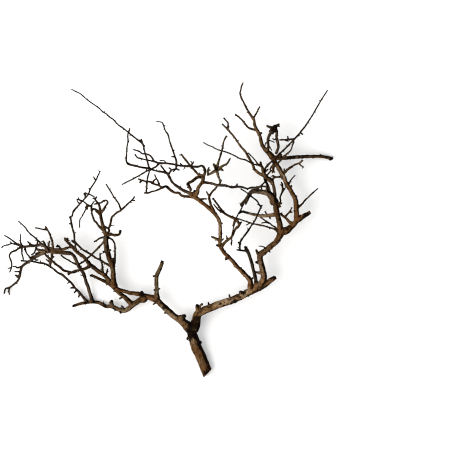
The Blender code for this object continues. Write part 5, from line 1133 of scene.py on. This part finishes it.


# Bark tones of each slot, as linear colours: deep (painted shade, and cracks and specks), middle, and light
# (painted highlight)
TONES = {
    "bark_brown": ((0.0035, 0.0015, 0.0005), (0.055, 0.026, 0.0088), (0.215, 0.130, 0.062)),
    "bark_red": ((0.0040, 0.0015, 0.0005), (0.066, 0.028, 0.0080), (0.232, 0.132, 0.058)),
    "bark_tan": ((0.0040, 0.0019, 0.0007), (0.066, 0.036, 0.0145), (0.245, 0.165, 0.092)),
    "bark_olive": ((0.0040, 0.0023, 0.0009), (0.063, 0.039, 0.0150), (0.230, 0.158, 0.084)),
    "bark_dark": ((0.0030, 0.0015, 0.0007), (0.032, 0.018, 0.009), (0.125, 0.088, 0.058)),
}
KNOT_BLACK = (0.0030, 0.0015, 0.0008, 1.0)
RUST = (0.100, 0.038, 0.011, 1.0)
TAN_AND_HIGHLIGHT = (0.270, 0.190, 0.115, 1.0)
LICHEN = (0.160, 0.150, 0.100, 1.0)
CUT_PALE = (0.340, 0.230, 0.130, 1.0)
CUT_RING = (0.170, 0.100, 0.050, 1.0)
RING_PITCH = 5200.0             # radians a metre: a ring every 1.2 mm
RING_BARK, RING_EDGE = 0.0095, 0.0120   # the radii between which the sawn face turns to bark
ROUGH_HOLLOW, ROUGH_RIDGE = 0.92, 0.70
SHEEN = 0.02
BUMP_STRENGTH = 0.75
BUMP_DEPTH = 0.0012


def along_grain(g, grain, share):
    """The wood's own space, shrunk along the grain so that what is made in it is drawn out."""
    return g.stretched(grain, (1.0, 1.0, share))


def bark_colour(g, tones, grain, bloom, fibres, cracks, fissure):
    """Deep bark with painted light and shade: lighter on the side that faces the key lamp, darker away from
    it and underneath, with painted highlights on lit ridges; and stains, cracks, specks, dark places and dark
    tips.
    """
    deep, middle, light = tones
    patches = g.noise(along_grain(g, grain, 0.35), 95.0, 3.0)
    specks = g.noise(along_grain(g, grain, 0.9), 900.0, 2.0, 0.5)
    mottle = g.noise(along_grain(g, grain, 0.6), 230.0, 2.0, 0.5)
    ridge = g.remap(fibres, 0.44, 0.66)
    painted_lit_side = g.attribute("painted_lit_side")
    # Painted light with random patches: the painted lit side, with patches, mottling and bloom added
    lit_and_mottled = g.math("ADD", painted_lit_side, g.remap(patches, 0.36, 0.64, -0.34, 0.24))
    lit_and_mottled = g.math("ADD", lit_and_mottled, g.remap(mottle, 0.36, 0.64, -0.18, 0.14))
    lit_and_mottled = g.math("ADD", lit_and_mottled, g.remap(bloom, 0.38, 0.62, -0.22, 0.14))
    # Painted shade: the deep tone away from the key lamp and underneath, the middle tone where the bark is
    # painted lit
    colour = g.mix(g.remap(lit_and_mottled, 0.12, 0.70), deep, middle)
    # Painted highlight: the light tone on the ridges of the painted lit side
    colour = g.mix(g.math("MULTIPLY", ridge, g.remap(lit_and_mottled, 0.45, 1.0)), colour, light)
    # Rust stains, laid on more strongly where the bark is painted lit
    stained = g.math("MULTIPLY", g.attribute("red"), g.remap(lit_and_mottled, 0.20, 0.80, 0.1, 0.6))
    colour = g.mix(stained, colour, RUST)
    # Tan patches, shown only on ridges of the painted lit side, so partly a painted highlight
    lit_ridges = g.math("MULTIPLY", g.remap(fibres, 0.36, 0.60, 0.2, 0.8), g.remap(lit_and_mottled, 0.35, 0.95))
    colour = g.mix(g.math("MULTIPLY", g.attribute("tan"), lit_ridges), colour, TAN_AND_HIGHLIGHT)
    # Lichen, only on the painted lit side
    colour = g.mix(g.math("MULTIPLY", g.remap(bloom, 0.60, 0.72, 0.0, 0.4), painted_lit_side), colour, LICHEN)
    colour = g.mix(g.math("MULTIPLY", fissure, 0.75), colour, deep)
    colour = g.mix(g.remap(specks, 0.66, 0.74, 0.0, 0.8), colour, deep)
    dark = g.math("ADD", g.attribute("dark"), g.remap(cracks, 0.35, 0.65, -0.18, 0.18))
    colour = g.mix(g.remap(dark, 0.25, 0.62, 0.0, 0.95), colour, KNOT_BLACK)
    colour = g.mix(g.math("MULTIPLY", g.attribute("tip"), 0.7), colour, KNOT_BLACK)
    return g.mix(1.0, colour, g.attribute("shade"), "MULTIPLY")


def sawn_colour(g, grain, bloom, deep):
    """Pale wood with rings round the grain's axis, and bark at its edge."""
    x, y = g.parts(grain)[:2]
    across = g.math("SQRT", g.math("ADD", g.math("MULTIPLY", x, x), g.math("MULTIPLY", y, y)))
    turns = g.math("MULTIPLY", across, RING_PITCH)
    rings = g.math("SINE", g.math("ADD", turns, g.math("MULTIPLY", bloom, 6.0)))
    wood = g.mix(g.remap(rings, -0.2, 0.9), CUT_PALE, CUT_RING)
    return g.mix(g.remap(across, RING_BARK, RING_EDGE, 0.0, 0.9), wood, deep)


def bark_material(slot):
    """Bark in a slot's tones, with the sawn face where the mesh is marked as cut."""
    tones = [tone + (1.0,) for tone in TONES[slot]]
    material = bpy.data.materials.new(slot)
    g = Graph(material)
    grain = g.attribute("grain", "Vector")
    fibres = g.noise(along_grain(g, grain, 0.13), 820.0, 5.0, 0.62, 0.3)
    cracks = g.noise(along_grain(g, grain, 0.16), 330.0, 3.0, 0.5, 0.6)
    bloom = g.noise(grain, 55.0, 3.0, 0.6)
    fissure = g.remap(g.math("ABSOLUTE", g.math("SUBTRACT", cracks, 0.5)), 0.0, 0.035, 1.0, 0.0)
    bark = bark_colour(g, tones, grain, bloom, fibres, cracks, fissure)
    wood = sawn_colour(g, grain, bloom, tones[0])
    g.put(g.shader.inputs["Base Color"], g.mix(g.attribute("cut"), bark, wood))
    g.put(g.shader.inputs["Roughness"], g.remap(fibres, 0.35, 0.7, ROUGH_HOLLOW, ROUGH_RIDGE))
    g.shader.inputs["Specular IOR Level"].default_value = SHEEN
    bump = g.tree.nodes.new("ShaderNodeBump")
    bump.inputs["Strength"].default_value = BUMP_STRENGTH
    bump.inputs["Distance"].default_value = BUMP_DEPTH
    raised = g.math("ADD", fibres, cracks)
    g.put(bump.inputs["Height"], g.math("SUBTRACT", raised, g.math("MULTIPLY", fissure, 0.5)))
    g.put(g.shader.inputs["Normal"], bump.outputs["Normal"])
    return material


def build_branch():
    """One piece for each solid of the frame, made round the same centre lines."""
    noise.seed_set(BEND_SEED)
    grown = grow_stretches()
    seeds = {name: STRETCH_SEED * (k + 1) for k, name in enumerate(grown)}
    arms = {s.name: fork_arm(s, grown) for s in grown.values() if s.parent and s.parent.node != s.node}
    spurs = grow_spurs(grown)
    materials = {slot: bark_material(slot) for slot in TONES}
    for number, (node, rows) in enumerate(TREE.items()):
        draw = random.Random(KNOB_SEED + number)
        main = grown[rows[0][0]]
        start = arms[main.name] - OVERLAP if main.name in arms else 0.0
        paths = [Path(main, start, main.length, seeds[main.name])]
        paths += [Path(s, 0.0, s.length, seeds[s.name])
                  for s in grown.values() if s.node == node and s is not main]
        paths += [Path(s, 0.0, arms[s.name], seeds[s.name])
                  for s in grown.values() if s.name in arms and s.parent.node == node]
        verts, faces = [], []
        for path in paths:
            add_tube(path.places, path.radii, path.frames, verts, faces)
            if path.stretch.node == node and path.stretch.length > KNOB_SPACING:
                add_knobs(path, verts, faces, draw)
        twigs = [Path(s, 0.0, s.length, SPUR_SEED * (k + 1)) for k, s in enumerate(spurs) if s.node == node]
        for path in twigs:
            add_tube(path.places, path.radii, path.frames, verts, faces)
        mesh = fused(node, verts, faces, VOXEL_LIMB if max(main.radii) >= LIMB_GIRTH else VOXEL_TWIG)
        dress(node, mesh, paths + twigs)
        piece = bpy.data.objects.new(node + "_bark", mesh)
        bpy.context.scene.collection.objects.link(piece)
        mesh.materials.clear()
        mesh.materials.append(materials[SLOTS[node]])
        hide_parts(node)
        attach(piece, "root")


def floor():
    """A plain pale floor, which isn't part of the branch."""
    mesh = bpy.data.meshes.new("floor")
    cage = bmesh.new()
    bmesh.ops.create_grid(cage, x_segments=1, y_segments=1, size=FLOOR_SIDE / 2)
    cage.to_mesh(mesh)
    cage.free()
    plane = bpy.data.objects.new("floor", mesh)
    bpy.context.scene.collection.objects.link(plane)
    material = bpy.data.materials.new("floor")
    material.use_nodes = True
    shader = material.node_tree.nodes["Principled BSDF"]
    shader.inputs["Base Color"].default_value = FLOOR_WHITE
    shader.inputs["Roughness"].default_value = 0.95
    shader.inputs["Specular IOR Level"].default_value = 0.0
    mesh.materials.append(material)


def area_light(name, place, side, power, colour):
    """A square lamp that is turned to the middle of the branch."""
    lamp = bpy.data.lights.new(name, "AREA")
    lamp.shape = "SQUARE"
    lamp.size = side
    lamp.energy = power
    lamp.color = colour
    thing = bpy.data.objects.new(name, lamp)
    thing.location = place
    thing.rotation_euler = (-Vector(place)).to_track_quat("-Z", "Y").to_euler()
    bpy.context.scene.collection.objects.link(thing)


def light_and_camera():
    """Soft studio light from the left, and a long lens that looks straight down."""
    world = bpy.data.worlds.new("studio")
    world.use_nodes = True
    sky = world.node_tree.nodes["Background"]
    sky.inputs["Color"].default_value = WHITE
    sky.inputs["Strength"].default_value = SKY_STRENGTH
    bpy.context.scene.world = world
    for light in LIGHTS:
        area_light(*light)
    camera = bpy.data.cameras.new("camera")
    camera.lens = CAMERA_LENS
    camera.sensor_width = CAMERA_SENSOR
    camera.clip_end = 100.0
    eye = bpy.data.objects.new("camera", camera)
    eye.location = (*FRAME_CENTRE, MEAN_HEIGHT + FRAME_SIDE * CAMERA_LENS / CAMERA_SENSOR)
    bpy.context.scene.collection.objects.link(eye)
    bpy.context.scene.camera = eye
    bpy.context.scene.view_settings.view_transform = "Standard"
    bpy.context.scene.cycles.filter_width = PIXEL_FILTER


build_branch()
floor()
light_and_camera()
